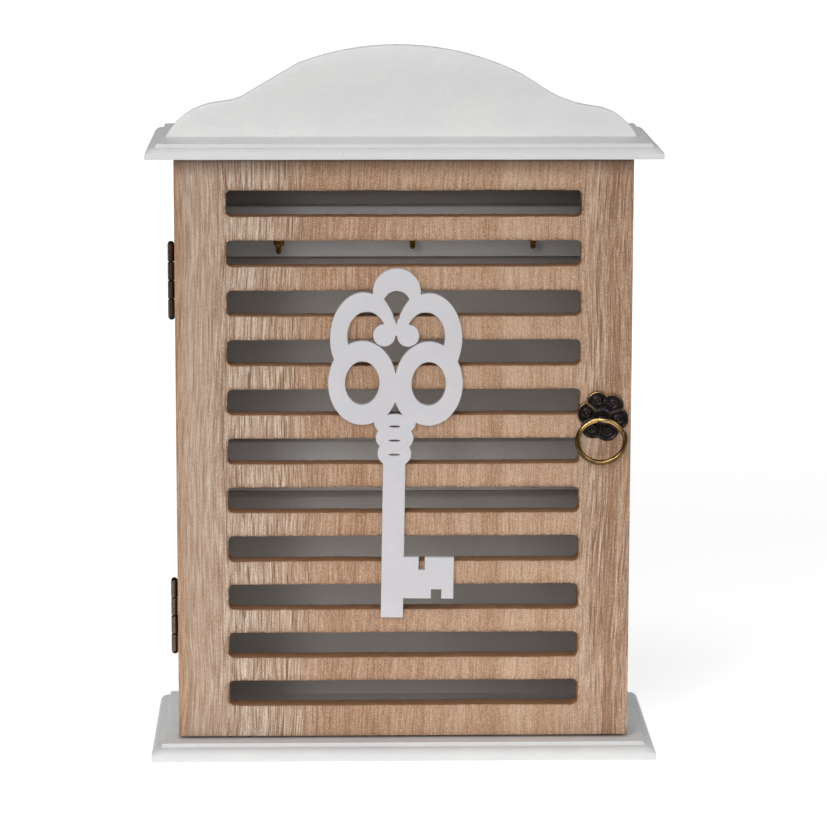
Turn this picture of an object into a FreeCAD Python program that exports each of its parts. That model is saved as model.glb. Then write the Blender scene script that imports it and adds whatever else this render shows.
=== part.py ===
import FreeCAD, Part
import math
import os
import Sketcher
from FreeCAD import Placement, Rotation, Vector
from itertools import count

# A small wall key cabinet: a slatted, veneered door on a white-painted carcass, between two
# moulded boards, with a sawn crest on top, six key hooks inside and a ring pull.
# Millimetres. +X is to the right, +Y to the back, +Z up, and the door faces -Y.
# The origin is the middle of the base board's underside.

DIMENSIONS = [
    ("board_width", 204.6, "base and top board, left to right"),
    ("board_depth", 88.0, "base and top board, front to back"),
    ("base_thickness", 7.0, "base board"),
    ("top_thickness", 6.0, "top board"),
    ("moulding_inset", 4.6, "edge of a board to its flat top"),
    ("strip_reach", 0.7, "outward lean of the moulding's steep strip"),
    ("strip_drop", 1.5, "depth of the moulding's steep strip"),
    ("ovolo_drop", 2.4, "depth of the moulding's round part"),
    ("board_edge_round", 0.7, "lower edges of the boards"),
    ("front_overhang", 11.4, "front edge of a board to the door's face"),
    ("carcass_width", 182.0, "over the two side panels"),
    ("panel_height", 237.6, "side panels, base board to top board"),
    ("panel_thickness", 9.0, "side panels"),
    ("back_thickness", 3.0, "back panel"),
    ("back_inset", 2.5, "back panel, in from the wall face"),
    ("rebate_width", 4.5, "rebate for the back panel"),
    ("door_width", 182.6, "door"),
    ("door_height", 235.6, "door"),
    ("door_thickness", 9.0, "door"),
    ("door_gap", 1.0, "under the door"),
    ("slot_length", 141.4, "door slot"),
    ("slot_height", 10.5, "door slot"),
    ("slot_corner", 2.2, "radius of a slot's corners"),
    ("slot_pitch", 20.0, "slot to slot"),
    ("slot_count", 11, "slots in the door"),
    ("slot_margin", 12.3, "top of the door to the first slot"),
    ("rail_height", 21.5, "hook rails"),
    ("rail_thickness", 9.0, "hook rails"),
    ("upper_rail_level", 206.8, "middle of the upper hook rail"),
    ("rail_spacing", 99.2, "hook rail to hook rail"),
    ("left_hook", -50.5, "place of the left hooks"),
    ("middle_hook", 4.8, "place of the middle hooks"),
    ("right_hook", 54.7, "place of the right hooks"),
    ("low_hook_drop", 4.1, "middle of the upper rail to its left hook"),
    ("hook_drop", 2.0, "middle of a rail to every other hook"),
    ("hook_wire", 1.8, "diameter of a hook's wire"),
    ("hook_reach", 4.0, "rail to the back of a hook's bend"),
    ("hook_bend", 2.0, "radius of a hook's bend"),
    ("crest_thickness", 6.0, "crest board"),
    ("crest_setback", 31.4, "front edge of the top board to the crest"),
    ("crest_rise", 36.7, "height of the crest"),
    ("hinge_gap", 1.8, "door to side panels, taken up by the hinge leaves"),
    ("hinge_middle", 125.2, "level midway between the hinges"),
    ("hinge_spacing", 137.8, "hinge to hinge"),
    ("leaf_height", 30.0, "hinge leaves"),
    ("leaf_width", 8.0, "hinge leaves"),
    ("leaf_thickness", 0.8, "hinge leaves"),
    ("knuckle_radius", 1.4, "outside of the hinge barrel"),
    ("knuckle_gap", 0.25, "between two knuckles"),
    ("barrel_clearance", 0.3, "door edge to hinge barrel"),
    ("pin_radius", 0.75, "hinge pin"),
    ("pin_play", 0.05, "hinge pin in the door's knuckles, on the radius"),
    ("ornament_thickness", 3.0, "key ornament"),
    ("ornament_level", 154.1, "middle of the ornament's lower lobes"),
    ("ornament_offset", -3.42, "the same, left or right of the door's middle"),
    ("ornament_tilt", 0.84, "degrees that its foot leans to the left"),
    ("pull_offset", 79.8, "ring pull, right of the door's middle"),
    ("pull_level", 140.2, "middle of the rosette"),
    ("petal_radius", 4.9, "rosette petal"),
    ("petal_circle", 5.6, "middle of the rosette to the middle of a petal"),
    ("rosette_thickness", 1.4, "rosette"),
    ("rosette_turn", 49.0, "degrees that a petal leans up from the right"),
    ("boss_radius", 1.4, "boss on each petal"),
    ("boss_circle", 6.7, "middle of the rosette to a boss"),
    ("boss_height", 0.4, "boss above its petal"),
    ("nail_circle", 6.0, "middle of the rosette to its nail"),
    ("eye_level", 139.3, "axis of the eye that the ring hangs in"),
    ("eye_reach", 4.3, "door face to the axis of the eye"),
    ("eye_radius", 2.3, "outside of the eye"),
    ("eye_hole", 1.5, "radius of the hole in the eye"),
    ("eye_width", 3.8, "eye, left to right"),
    ("ring_wire", 2.0, "diameter of the ring's wire"),
    ("ring_width", 21.0, "outside of the ring, left to right"),
    ("ring_height", 19.3, "outside of the ring, top to bottom"),
    ("ring_shift", 0.8, "ring hangs this far left of the eye"),
    ("magnet_radius", 3.0, "catch magnet"),
    ("magnet_proud", 0.6, "magnet in front of the panel's edge"),
    ("strike_thickness", 0.8, "steel strike on the door"),
    ("hanger_width", 34.0, "keyhole hanger plates"),
    ("hanger_height", 18.0, "keyhole hanger plates"),
    ("hanger_thickness", 1.2, "keyhole hanger plates"),
    ("hanger_offset", 60.0, "middle of the cabinet to a hanger plate"),
    ("hanger_corner", 2.5, "radius of a hanger plate's corners"),
    ("keyhole_radius", 4.0, "entry hole of a hanger plate"),
    ("keyhole_slot", 2.1, "half the width of its slot"),
    ("keyhole_travel", 7.0, "entry hole to the top of the slot"),
    ("keyhole_drop", 3.0, "middle of the plate down to the entry hole"),
]

# Levels and planes that several pieces share, worked out from the sheet.
DOOR_FRONT = "(dims.front_overhang - dims.board_depth / 2)"
DOOR_BACK = "(%s + dims.door_thickness)" % DOOR_FRONT
PANEL_FRONT = "(%s + dims.hinge_gap)" % DOOR_BACK
WALL_FACE = "(dims.board_depth / 2)"
BACK_FRONT = "(%s - dims.back_inset - dims.back_thickness)" % WALL_FACE
RAIL_FRONT = "(%s - dims.rail_thickness)" % BACK_FRONT
DOOR_BOTTOM = "(dims.base_thickness + dims.door_gap)"
DOOR_TOP = "(%s + dims.door_height)" % DOOR_BOTTOM
TOP_UNDERSIDE = "(dims.base_thickness + dims.panel_height)"
TOP_SURFACE = "(%s + dims.top_thickness)" % TOP_UNDERSIDE
LOWER_RAIL_LEVEL = "(dims.upper_rail_level - dims.rail_spacing)"
HINGE_X = "(-dims.door_width / 2 - dims.barrel_clearance - dims.knuckle_radius)"
HINGE_Y = "(%s + dims.hinge_gap / 2)" % DOOR_BACK
UPPER_HINGE = "(dims.hinge_middle + dims.hinge_spacing / 2)"
LOWER_HINGE = "(dims.hinge_middle - dims.hinge_spacing / 2)"

doc = FreeCAD.newDocument("key_cabinet")
sheet = doc.addObject("Spreadsheet::Sheet", "dims")
subparts = []


def fill_sheet():
    """One row for each driving dimension: its meaning, its value and its alias."""
    for row, (alias, number, meaning) in enumerate(DIMENSIONS, start=1):
        sheet.set("A%d" % row, meaning)
        sheet.set("B%d" % row, str(number))
        sheet.setAlias("B%d" % row, alias)
    doc.recompute()


def value(expression):
    """The number that an expression on the sheet comes to."""
    return float(sheet.evalExpression(expression))


def flat(point):
    """A sketch point as a vector."""
    return Vector(point[0], point[1], 0)


def keep(feature, name):
    """Name a finished sub-part and list it for export."""
    feature.Label = name
    subparts.append(feature)
    return feature


def place(feature, across="0", along="0", up="0", rotation=None):
    """Put a feature at a point given by expressions, turned by a rotation."""
    if rotation:
        feature.Placement = Placement(Vector(), rotation)
    for axis, expression in (("x", across), ("y", along), ("z", up)):
        feature.setExpression("Placement.Base." + axis, expression)
    return feature


# Sketches and features


def new_body(name):
    """An empty body with a readable name."""
    body = doc.addObject("PartDesign::Body", name)
    body.Label = name
    return body


def new_sketch(body, role, name, offset=None):
    """An empty sketch on an origin plane of its body, moved along the plane's normal."""
    sketch = body.newObject("Sketcher::SketchObject", "%s_%s" % (body.Name, name))
    plane = [item for item in body.Origin.OriginFeatures if item.Role == role][0]
    sketch.AttachmentSupport = [(plane, "")]
    sketch.MapMode = "FlatFace"
    if offset:
        sketch.setExpression("AttachmentOffset.Base.z", offset)
    return sketch


def rectangle(sketch, width, height):
    """A rectangle about the sketch's origin, sized by two expressions."""
    right = value(width) / 2
    top = value(height) / 2
    corners = [(-right, -top), (right, -top), (right, top), (-right, top)]
    for index in range(4):
        sketch.addGeometry(Part.LineSegment(flat(corners[index]), flat(corners[(index + 1) % 4])), False)
    for index in range(4):
        sketch.addConstraint(Sketcher.Constraint("Coincident", index, 2, (index + 1) % 4, 1))
    for index, kind in enumerate(("Horizontal", "Vertical", "Horizontal", "Vertical")):
        sketch.addConstraint(Sketcher.Constraint(kind, index))
    sketch.addConstraint(Sketcher.Constraint("Symmetric", 0, 1, 2, 1, -1, 1))
    size_by(sketch, Sketcher.Constraint("DistanceX", 0, 1, 0, 2, 2 * right), "width", width)
    size_by(sketch, Sketcher.Constraint("DistanceY", 1, 1, 1, 2, 2 * top), "height", height)


def size_by(sketch, constraint, name, expression):
    """Add a dimension to a sketch and tie it to an expression."""
    index = sketch.addConstraint(constraint)
    sketch.renameConstraint(index, name)
    sketch.setExpression("Constraints." + name, expression)


def rounded_rectangle(sketch, width, height, corner):
    """A rectangle about the sketch's origin with round corners, sized by three expressions."""
    radius = value(corner)
    right = value(width) / 2
    top = value(height) / 2
    inner = right - radius
    level = top - radius
    sides = [
        ((-inner, -top), (inner, -top)),
        ((right, -level), (right, level)),
        ((inner, top), (-inner, top)),
        ((-right, level), (-right, -level)),
    ]
    centres = [(inner, -level), (inner, level), (-inner, level), (-inner, -level)]
    for index in range(4):
        start = math.radians(90 * index - 90)
        circle = Part.Circle(flat(centres[index]), Vector(0, 0, 1), radius)
        sketch.addGeometry(Part.LineSegment(flat(sides[index][0]), flat(sides[index][1])), False)
        sketch.addGeometry(Part.ArcOfCircle(circle, start, start + math.pi / 2), False)
    for index in range(8):
        sketch.addConstraint(Sketcher.Constraint("Tangent", index, 2, (index + 1) % 8, 1))
    for index, kind in ((0, "Horizontal"), (2, "Vertical"), (4, "Horizontal"), (6, "Vertical")):
        sketch.addConstraint(Sketcher.Constraint(kind, index))
    for index in (3, 5, 7):
        sketch.addConstraint(Sketcher.Constraint("Equal", 1, index))
    sketch.addConstraint(Sketcher.Constraint("Symmetric", 1, 3, 5, 3, -1, 1))
    size_by(sketch, Sketcher.Constraint("Radius", 1, radius), "corner", corner)
    size_by(sketch, Sketcher.Constraint("DistanceX", 6, 1, 2, 1, 2 * right), "width", width)
    size_by(sketch, Sketcher.Constraint("DistanceY", 0, 1, 4, 1, 2 * top), "height", height)


def circle(sketch, radius, across="0", up="0"):
    """A circle sized and placed by expressions."""
    centre = (value(across), value(up))
    index = sketch.addGeometry(Part.Circle(flat(centre), Vector(0, 0, 1), value(radius)), False)
    size_by(sketch, Sketcher.Constraint("Radius", index, value(radius)), "radius_%d" % index, radius)
    for kind, expression in (("DistanceX", across), ("DistanceY", up)):
        constraint = Sketcher.Constraint(kind, -1, 1, index, 3, value(expression))
        size_by(sketch, constraint, "%s_%d" % (kind, index), expression)


def ellipse(sketch, centre, half_width, half_height):
    """An upright ellipse, or a circle where its halves are equal."""
    if half_width == half_height:
        sketch.addGeometry(Part.Circle(flat(centre), Vector(0, 0, 1), half_width), False)
        return
    side = flat((centre[0] + half_width, centre[1]))
    top = flat((centre[0], centre[1] + half_height))
    longer, shorter = (side, top) if half_width > half_height else (top, side)
    sketch.addGeometry(Part.Ellipse(longer, shorter, flat(centre)), False)


def outline(sketch, start, steps, closed=True):
    """Lines and arcs end to end: a step is an end point, or a (via, end) pair for an arc."""
    edges = []
    here = start
    for step in steps:
        is_arc = isinstance(step[0], tuple)
        end = step[1] if is_arc else step
        if is_arc:
            edge = Part.Arc(flat(here), flat(step[0]), flat(end))
        else:
            edge = Part.LineSegment(flat(here), flat(end))
        index = sketch.addGeometry(edge, False)
        starts_here = sketch.getPoint(index, 1).distanceToPoint(flat(here)) < 1e-6
        edges.append((index, 1, 2) if starts_here else (index, 2, 1))
        here = end
    followers = edges[1:] + edges[:1] if closed else edges[1:]
    for (index, _, last), (after, first, _) in zip(edges, followers):
        sketch.addConstraint(Sketcher.Constraint("Coincident", index, last, after, first))


def pad(body, sketch, length, backwards=False):
    """Thicken a sketch along its normal by an expression."""
    feature = body.newObject("PartDesign::Pad", sketch.Name + "_pad")
    feature.Profile = sketch
    feature.setExpression("Length", length)
    feature.Reversed = backwards
    doc.recompute()
    return feature


def pocket(body, sketch, length=None, backwards=False):
    """Cut a sketch out of its body, right through unless a depth is given."""
    before = body.Shape.Volume
    feature = body.newObject("PartDesign::Pocket", sketch.Name + "_pocket")
    feature.Profile = sketch
    feature.Reversed = backwards
    if length:
        feature.setExpression("Length", length)
    else:
        feature.Type = "ThroughAll"
    doc.recompute()
    if body.Shape.Volume >= before - 1e-6:
        raise RuntimeError("%s cuts nothing" % feature.Name)
    return feature


def revolve(body, sketch, axis):
    """Turn a sketch all the way round one of its own axes."""
    feature = body.newObject("PartDesign::Revolution", sketch.Name + "_turned")
    feature.Profile = sketch
    feature.ReferenceAxis = (sketch, [axis])
    feature.Angle = 360
    doc.recompute()
    return feature


def dress(body, kind, size_name, size, chosen):
    """Fillet or chamfer the edges of a body that pass a test."""
    solid = body.Shape
    names = ["Edge%d" % number for number, edge in enumerate(solid.Edges, start=1) if chosen(edge)]
    tip = body.Tip
    feature = body.newObject("PartDesign::" + kind, "%s_%s" % (body.Name, kind.lower()))
    feature.Base = (tip, names)
    feature.setExpression(size_name, size)
    doc.recompute()
    return feature


def group(name, features):
    """Several separate solids as one sub-part."""
    compound = doc.addObject("Part::Compound", name)
    compound.Links = features
    return compound


def cut(name, base, tools):
    """A base with one or more tools taken out of it."""
    result = doc.addObject("Part::Cut", name)
    result.Base = base
    result.Tool = tools[0] if len(tools) == 1 else group(name + "_tools", tools)
    return result


def fuse(name, features):
    """Several overlapping pieces made one."""
    result = doc.addObject("Part::MultiFuse", name)
    result.Shapes = features
    return result


# Fasteners

POINTING_DOWN = Rotation()
POINTING_UP = Rotation(Vector(1, 0, 0), 180)
POINTING_BACK = Rotation(Vector(1, 0, 0), 90)
POINTING_FORWARD = Rotation(Vector(1, 0, 0), -90)
POINTING_RIGHT = Rotation(Vector(0, 1, 0), 90)


def turned_piece(name, points):
    """A body turned about its own Z from half an outline, given as (radius, level) points."""
    body = new_body(name)
    profile = new_sketch(body, "XZ_Plane", "profile")
    outline(profile, points[0], points[1:] + points[:1])
    revolve(body, profile, "V_Axis")
    return body


def countersunk_screw(name, head_radius, shank_radius, length):
    """A screw whose flat head lies at its own level 0 and whose point is below."""
    cone_depth = head_radius - shank_radius
    return turned_piece(name, [
        (0, 0),
        (head_radius, 0),
        (shank_radius, -cone_depth),
        (shank_radius, shank_radius * 2 - length),
        (0, -length),
    ])


def pan_head_screw(name, head_radius, head_height, shank_radius, length):
    """A screw whose domed head stands on its own level 0 and whose point is below."""
    dome_radius = (head_radius ** 2 + head_height ** 2) / (2 * head_height)
    flank = head_radius * 0.6
    flank_level = math.sqrt(dome_radius ** 2 - flank ** 2) - dome_radius + head_height
    body = new_body(name)
    profile = new_sketch(body, "XZ_Plane", "profile")
    outline(profile, (0, head_height), [
        ((flank, flank_level), (head_radius, 0)),
        (shank_radius, 0),
        (shank_radius, shank_radius * 2 - length),
        (0, -length),
        (0, head_height),
    ])
    revolve(body, profile, "V_Axis")
    return body


def driver_cross(name, reach, floor):
    """The tip of a cross-head driver, its end at a level of the screw's own."""
    half = reach * 0.22
    body = new_body(name)
    cross = new_sketch(body, "XY_Plane", "cross", "%f" % floor)
    outline(cross, (half, half), [
        (half, reach), (-half, reach), (-half, half),
        (-reach, half), (-reach, -half), (-half, -half),
        (-half, -reach), (half, -reach), (half, -half),
        (reach, -half), (reach, half), (half, half),
    ])
    pad(body, cross, "2")
    return body


def fastener_set(name, make, places, rotation, recess=None):
    """One kind of fastener at several places as one sub-part, and the plain shapes for its holes.

    recess is the reach and floor of the cross in each head.
    """
    fasteners = []
    crosses = []
    for number, (across, along, up) in enumerate(places, start=1):
        fastener = make("%s_%d" % (name, number))
        fasteners.append(place(fastener, across, along, up, rotation))
        if recess:
            cross = driver_cross("%s_cross_%d" % (name, number), *recess)
            crosses.append(place(cross, across, along, up, rotation))
    if not recess:
        return keep(group(name, fasteners), name)
    holes = group(name + "_holes", fasteners)
    keep(cut(name, holes, crosses), name)
    return holes


# Carcass


def moulding_waste(side, reach, top):
    """What the cutter takes off one edge of a board, as a start and steps for an outline."""
    beyond = 1.0
    inner = reach - value("dims.moulding_inset")
    strip_foot = (inner + value("dims.strip_reach"), top - value("dims.strip_drop"))
    ovolo_foot = (reach, strip_foot[1] - value("dims.ovolo_drop"))
    bulge = math.sqrt(0.5)
    ovolo_middle = (
        strip_foot[0] + (reach - strip_foot[0]) * bulge,
        ovolo_foot[1] + value("dims.ovolo_drop") * bulge,
    )
    corner = (reach + beyond, top + beyond)
    start = (side * inner, top)

    def mirrored(point):
        return (side * point[0], point[1])

    steps = [
        mirrored(strip_foot),
        (mirrored(ovolo_middle), mirrored(ovolo_foot)),
        mirrored((corner[0], ovolo_foot[1])),
        mirrored(corner),
        mirrored((inner, corner[1])),
        start,
    ]
    return start, steps


def moulded_board(name, thickness):
    """A board with a moulding on its front and both ends, and a square back edge."""
    body = new_body(name + "_blank")
    plan = new_sketch(body, "XY_Plane", "plan")
    rectangle(plan, "dims.board_width", "dims.board_depth")
    pad(body, plan, thickness)
    ends = new_sketch(body, "XZ_Plane", "end_moulding", "dims.board_depth / 2")
    for side in (-1, 1):
        outline(ends, *moulding_waste(side, value("dims.board_width / 2"), value(thickness)))
    pocket(body, ends)
    front = new_sketch(body, "YZ_Plane", "front_moulding", "dims.board_width / 2")
    outline(front, *moulding_waste(-1, value("dims.board_depth / 2"), value(thickness)))
    pocket(body, front)
    back_edge = value("dims.board_depth / 2")

    def is_lower_edge(edge):
        at_bottom = edge.BoundBox.ZMax < 1e-3
        at_back = edge.BoundBox.YMin > back_edge - 1e-3
        return at_bottom and not at_back

    dress(body, "Fillet", "Radius", "dims.board_edge_round", is_lower_edge)
    return body


def panel_corner_places(level):
    """Two places along the middle of each side panel's end grain, in from its front and back."""
    inset = 13.0
    middle = "(dims.carcass_width / 2 - dims.panel_thickness / 2)"
    rows = ("%s + %f" % (PANEL_FRONT, inset), "%s - %f" % (WALL_FACE, inset))
    return [("%d * %s" % (side, middle), row, level) for side in (-1, 1) for row in rows]


def base_screws():
    """Four countersunk screws, up through the base board into the side panels."""
    head_radius = 3.2
    shank_radius = 1.5
    length = 25.0
    cross_reach = 1.9
    cross_floor = -1.0
    return fastener_set(
        "base_screws",
        lambda name: countersunk_screw(name, head_radius, shank_radius, length),
        panel_corner_places("0"),
        POINTING_UP,
        (cross_reach, cross_floor),
    )


def top_dowels():
    """Four wooden dowels that hold the top board on the side panels."""
    depth_in_board = 4.0
    length = 14.0
    radius = 2.5
    nose = 0.5

    def dowel(name):
        return turned_piece(name, [
            (0, 0),
            (radius - nose, 0),
            (radius, -nose),
            (radius, nose - length),
            (radius - nose, -length),
            (0, -length),
        ])

    level = "%s + %f" % (TOP_UNDERSIDE, depth_in_board)
    return fastener_set("top_dowels", dowel, panel_corner_places(level), POINTING_DOWN)


def crest_screws():
    """Two screws, up through the top board into the crest's foot."""
    offset = 60.0
    head_radius = 2.6
    shank_radius = 1.25
    length = 16.0
    cross_reach = 1.5
    cross_floor = -0.8
    along = "dims.crest_setback - dims.board_depth / 2 + dims.crest_thickness / 2"
    places = [("%f" % (side * offset), along, TOP_UNDERSIDE) for side in (-1, 1)]
    return fastener_set(
        "crest_screws",
        lambda name: countersunk_screw(name, head_radius, shank_radius, length),
        places,
        POINTING_UP,
        (cross_reach, cross_floor),
    )


def side_panel_blank(name, side):
    """A side panel with the rebate for the back panel along its inner back edge."""
    outer = side * value("dims.carcass_width / 2")
    inner = outer - side * value("dims.panel_thickness")
    rebate = inner + side * value("dims.rebate_width")
    front = value(PANEL_FRONT)
    back = value(WALL_FACE)
    shoulder = value(BACK_FRONT)
    body = new_body(name + "_blank")
    plan = new_sketch(body, "XY_Plane", "plan")
    outline(plan, (inner, front), [
        (outer, front),
        (outer, back),
        (rebate, back),
        (rebate, shoulder),
        (inner, shoulder),
        (inner, front),
    ])
    pad(body, plan, "dims.panel_height")
    return place(body, up="dims.base_thickness")


def back_panel_blank():
    """The thin back panel, with a window behind each hanger plate for the wall screw's head."""
    width = "(dims.carcass_width - 2 * dims.panel_thickness + 2 * dims.rebate_width)"
    body = new_body("back_panel_blank")
    face = new_sketch(body, "XZ_Plane", "face")
    rectangle(face, width, "dims.panel_height")
    pad(body, face, "dims.back_thickness")
    middle = value("dims.base_thickness + dims.panel_height / 2")
    level = value("dims.upper_rail_level") - middle
    half_width = 6.0
    half_height = 7.5
    for side, word in ((-1, "left"), (1, "right")):
        window = new_sketch(body, "XZ_Plane", word + "_window", "dims.back_thickness")
        place_x = side * value("dims.hanger_offset")
        outline(window, (place_x - half_width, level - half_height), [
            (place_x + half_width, level - half_height),
            (place_x + half_width, level + half_height),
            (place_x - half_width, level + half_height),
            (place_x - half_width, level - half_height),
        ])
        pocket(body, window)
    return place(
        body,
        along="%s - dims.back_inset" % WALL_FACE,
        up="dims.base_thickness + dims.panel_height / 2",
    )


def back_panel_pins():
    """Six panel pins, three down each rebate."""
    middle = "(dims.carcass_width / 2 - dims.panel_thickness + dims.rebate_width / 2)"
    places = []
    for side in (-1, 1):
        for share in (0.12, 0.5, 0.88):
            level = "dims.base_thickness + dims.panel_height * %f" % share
            places.append(("%d * %s" % (side, middle), "%s - dims.back_inset" % WALL_FACE, level))
    head_radius = 1.2
    head_height = 0.5
    shank_radius = 0.6
    length = 12.0

    def panel_pin(name):
        return turned_piece(name, [
            (0, head_height),
            (head_radius, head_height),
            (head_radius, 0),
            (shank_radius, 0),
            (shank_radius, shank_radius * 2 - length),
            (0, -length),
        ])

    return fastener_set("back_panel_pins", panel_pin, places, POINTING_FORWARD)


def hook_rail_blank(name, level):
    """A rail across the inside of the back panel, with softened front edges."""
    body = new_body(name + "_blank")
    face = new_sketch(body, "XZ_Plane", "face")
    rectangle(face, "dims.carcass_width - 2 * dims.panel_thickness", "dims.rail_height")
    pad(body, face, "dims.rail_thickness")
    front = -value("dims.rail_thickness")
    edge_round = 0.8

    def is_long_front_edge(edge):
        box = edge.BoundBox
        return box.YMax < front + 1e-3 and box.XLength > value("dims.rail_thickness")

    dress(body, "Fillet", "Radius", "%f" % edge_round, is_long_front_edge)
    return place(body, along=BACK_FRONT, up=level)


def rail_screws():
    """Two screws from behind into each hook rail."""
    offset = 25.0
    head_radius = 2.6
    head_height = 1.3
    shank_radius = 1.2
    length = 10.0
    cross_reach = 1.3
    cross_floor = 0.5
    places = []
    for level in ("dims.upper_rail_level", LOWER_RAIL_LEVEL):
        for side in (-1, 1):
            places.append(("%f" % (side * offset), "%s - dims.back_inset" % WALL_FACE, level))
    return fastener_set(
        "rail_screws",
        lambda name: pan_head_screw(name, head_radius, head_height, shank_radius, length),
        places,
        POINTING_FORWARD,
        (cross_reach, cross_floor),
    )


def key_hook(name, across, level):
    """A brass cup hook: screwed shank, collar, and wire bent down, forward and up."""
    wire = value("dims.hook_wire / 2")
    reach = value("dims.hook_reach")
    bend = value("dims.hook_bend")
    elbow = 1.3
    tip_rise = 1.0
    shank_length = 7.0
    body = new_body(name)
    path = new_sketch(body, "YZ_Plane", "path")
    quarter = math.sqrt(0.5)
    outline(path, (0, 0), [
        (elbow - reach, 0),
        ((elbow - reach - elbow * quarter, elbow * quarter - elbow), (-reach, -elbow)),
        ((-reach - bend, -elbow - bend), (-reach - 2 * bend, -elbow)),
        (-reach - 2 * bend, tip_rise - elbow),
    ], closed=False)
    section = new_sketch(body, "XZ_Plane", "section")
    circle(section, "dims.hook_wire / 2")
    doc.recompute()
    pipe = body.newObject("PartDesign::AdditivePipe", name + "_wire")
    pipe.Profile = section
    pipe.Spine = (path, ["Edge1", "Edge2", "Edge3", "Edge4"])
    doc.recompute()
    collar = new_sketch(body, "YZ_Plane", "collar")
    collar_radius = 2.6
    collar_height = 0.9
    outline(collar, (0, 0), [
        (0, collar_radius),
        ((-collar_height * 0.75, collar_radius * 0.85), (-collar_height, wire)),
        (-collar_height, 0),
        (0, 0),
    ])
    revolve(body, collar, "H_Axis")
    shank = new_sketch(body, "YZ_Plane", "shank")
    outline(shank, (0, 0), [
        (0, wire),
        (shank_length - 2 * wire, wire),
        (shank_length, 0),
        (0, 0),
    ])
    revolve(body, shank, "H_Axis")
    tip = new_sketch(body, "YZ_Plane", "tip")
    tip_foot = (-reach - 2 * bend, tip_rise - elbow)
    outline(tip, (tip_foot[0], tip_foot[1]), [
        (tip_foot[0] - wire, tip_foot[1]),
        ((tip_foot[0] - wire * quarter, tip_foot[1] + wire * quarter), (tip_foot[0], tip_foot[1] + wire)),
        (tip_foot[0], tip_foot[1]),
    ])
    round_tip = body.newObject("PartDesign::Revolution", name + "_round_tip")
    round_tip.Profile = tip
    tip_edge = 3
    doc.recompute()
    round_tip.ReferenceAxis = (tip, ["Edge%d" % tip_edge])
    round_tip.Angle = 360
    doc.recompute()
    place(body, across, RAIL_FRONT, level)
    return keep(body, name)


def crest_blank():
    """The sawn crest: feet that curve in to two shoulders, and a wide crown, slightly uneven."""
    rise = value("dims.crest_rise")
    body = new_body("crest_board_blank")
    face = new_sketch(body, "XZ_Plane", "face")
    outline(face, (-95.3, 0), [
        ((-88.0, 8.4), (-74.9, 13.8)),
        (-68.5, 14.7),
        ((-65.2, 15.9), (-61.5, 18.0)),
        (-42.0, 29.4),
        ((-3.0, rise), (48.0, 24.9)),
        (58.0, 18.5),
        ((64.5, 15.2), (72.0, 12.9)),
        (80.0, 11.6),
        ((89.0, 6.8), (94.2, 0)),
        (-95.3, 0),
    ])
    pad(body, face, "dims.crest_thickness")
    return place(
        body,
        along="dims.crest_setback - dims.board_depth / 2 + dims.crest_thickness",
        up=TOP_SURFACE,
    )


def hanger_plate_blank(name, side):
    """A steel plate with a keyhole: a round entry with a narrow slot above it."""
    body = new_body(name + "_blank")
    face = new_sketch(body, "XZ_Plane", "face")
    rounded_rectangle(face, "dims.hanger_width", "dims.hanger_height", "dims.hanger_corner")
    pad(body, face, "dims.hanger_thickness", backwards=True)
    keyhole = new_sketch(body, "XZ_Plane", "keyhole")
    radius = value("dims.keyhole_radius")
    half = value("dims.keyhole_slot")
    low = -value("dims.keyhole_drop")
    top = low + value("dims.keyhole_travel")
    shoulder = low + math.sqrt(radius ** 2 - half ** 2)
    outline(keyhole, (half, shoulder), [
        (half, top),
        ((0, top + half), (-half, top)),
        (-half, shoulder),
        ((0, low - radius), (half, shoulder)),
    ])
    pocket(body, keyhole)
    return place(
        body,
        across="%d * dims.hanger_offset" % side,
        along="%s - dims.back_inset" % WALL_FACE,
        up="dims.upper_rail_level",
    )


def hanger_screws():
    """Two screws through each hanger plate and the back panel into the upper hook rail."""
    offset = 12.0
    head_radius = 2.3
    shank_radius = 1.2
    length = 10.0
    cross_reach = 1.3
    cross_floor = -0.7
    along = "%s - dims.back_inset + dims.hanger_thickness" % WALL_FACE
    places = []
    for side in (-1, 1):
        for end in (-1, 1):
            across = "%d * dims.hanger_offset + %f" % (side, end * offset)
            places.append((across, along, "dims.upper_rail_level"))
    return fastener_set(
        "hanger_screws",
        lambda name: countersunk_screw(name, head_radius, shank_radius, length),
        places,
        POINTING_FORWARD,
        (cross_reach, cross_floor),
    )


def catch_magnet():
    """A round magnet let into the right side panel's front edge, a little proud."""
    depth = 4.0
    magnet = doc.addObject("Part::Cylinder", "catch_magnet")
    magnet.setExpression("Radius", "dims.magnet_radius")
    magnet.Height = depth
    place(
        magnet,
        "dims.carcass_width / 2 - dims.panel_thickness / 2",
        "%s - dims.magnet_proud + %f" % (PANEL_FRONT, depth),
        DOOR_BOTTOM + " + dims.door_height / 2",
        POINTING_BACK,
    )
    return keep(magnet, "catch_magnet")


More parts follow.
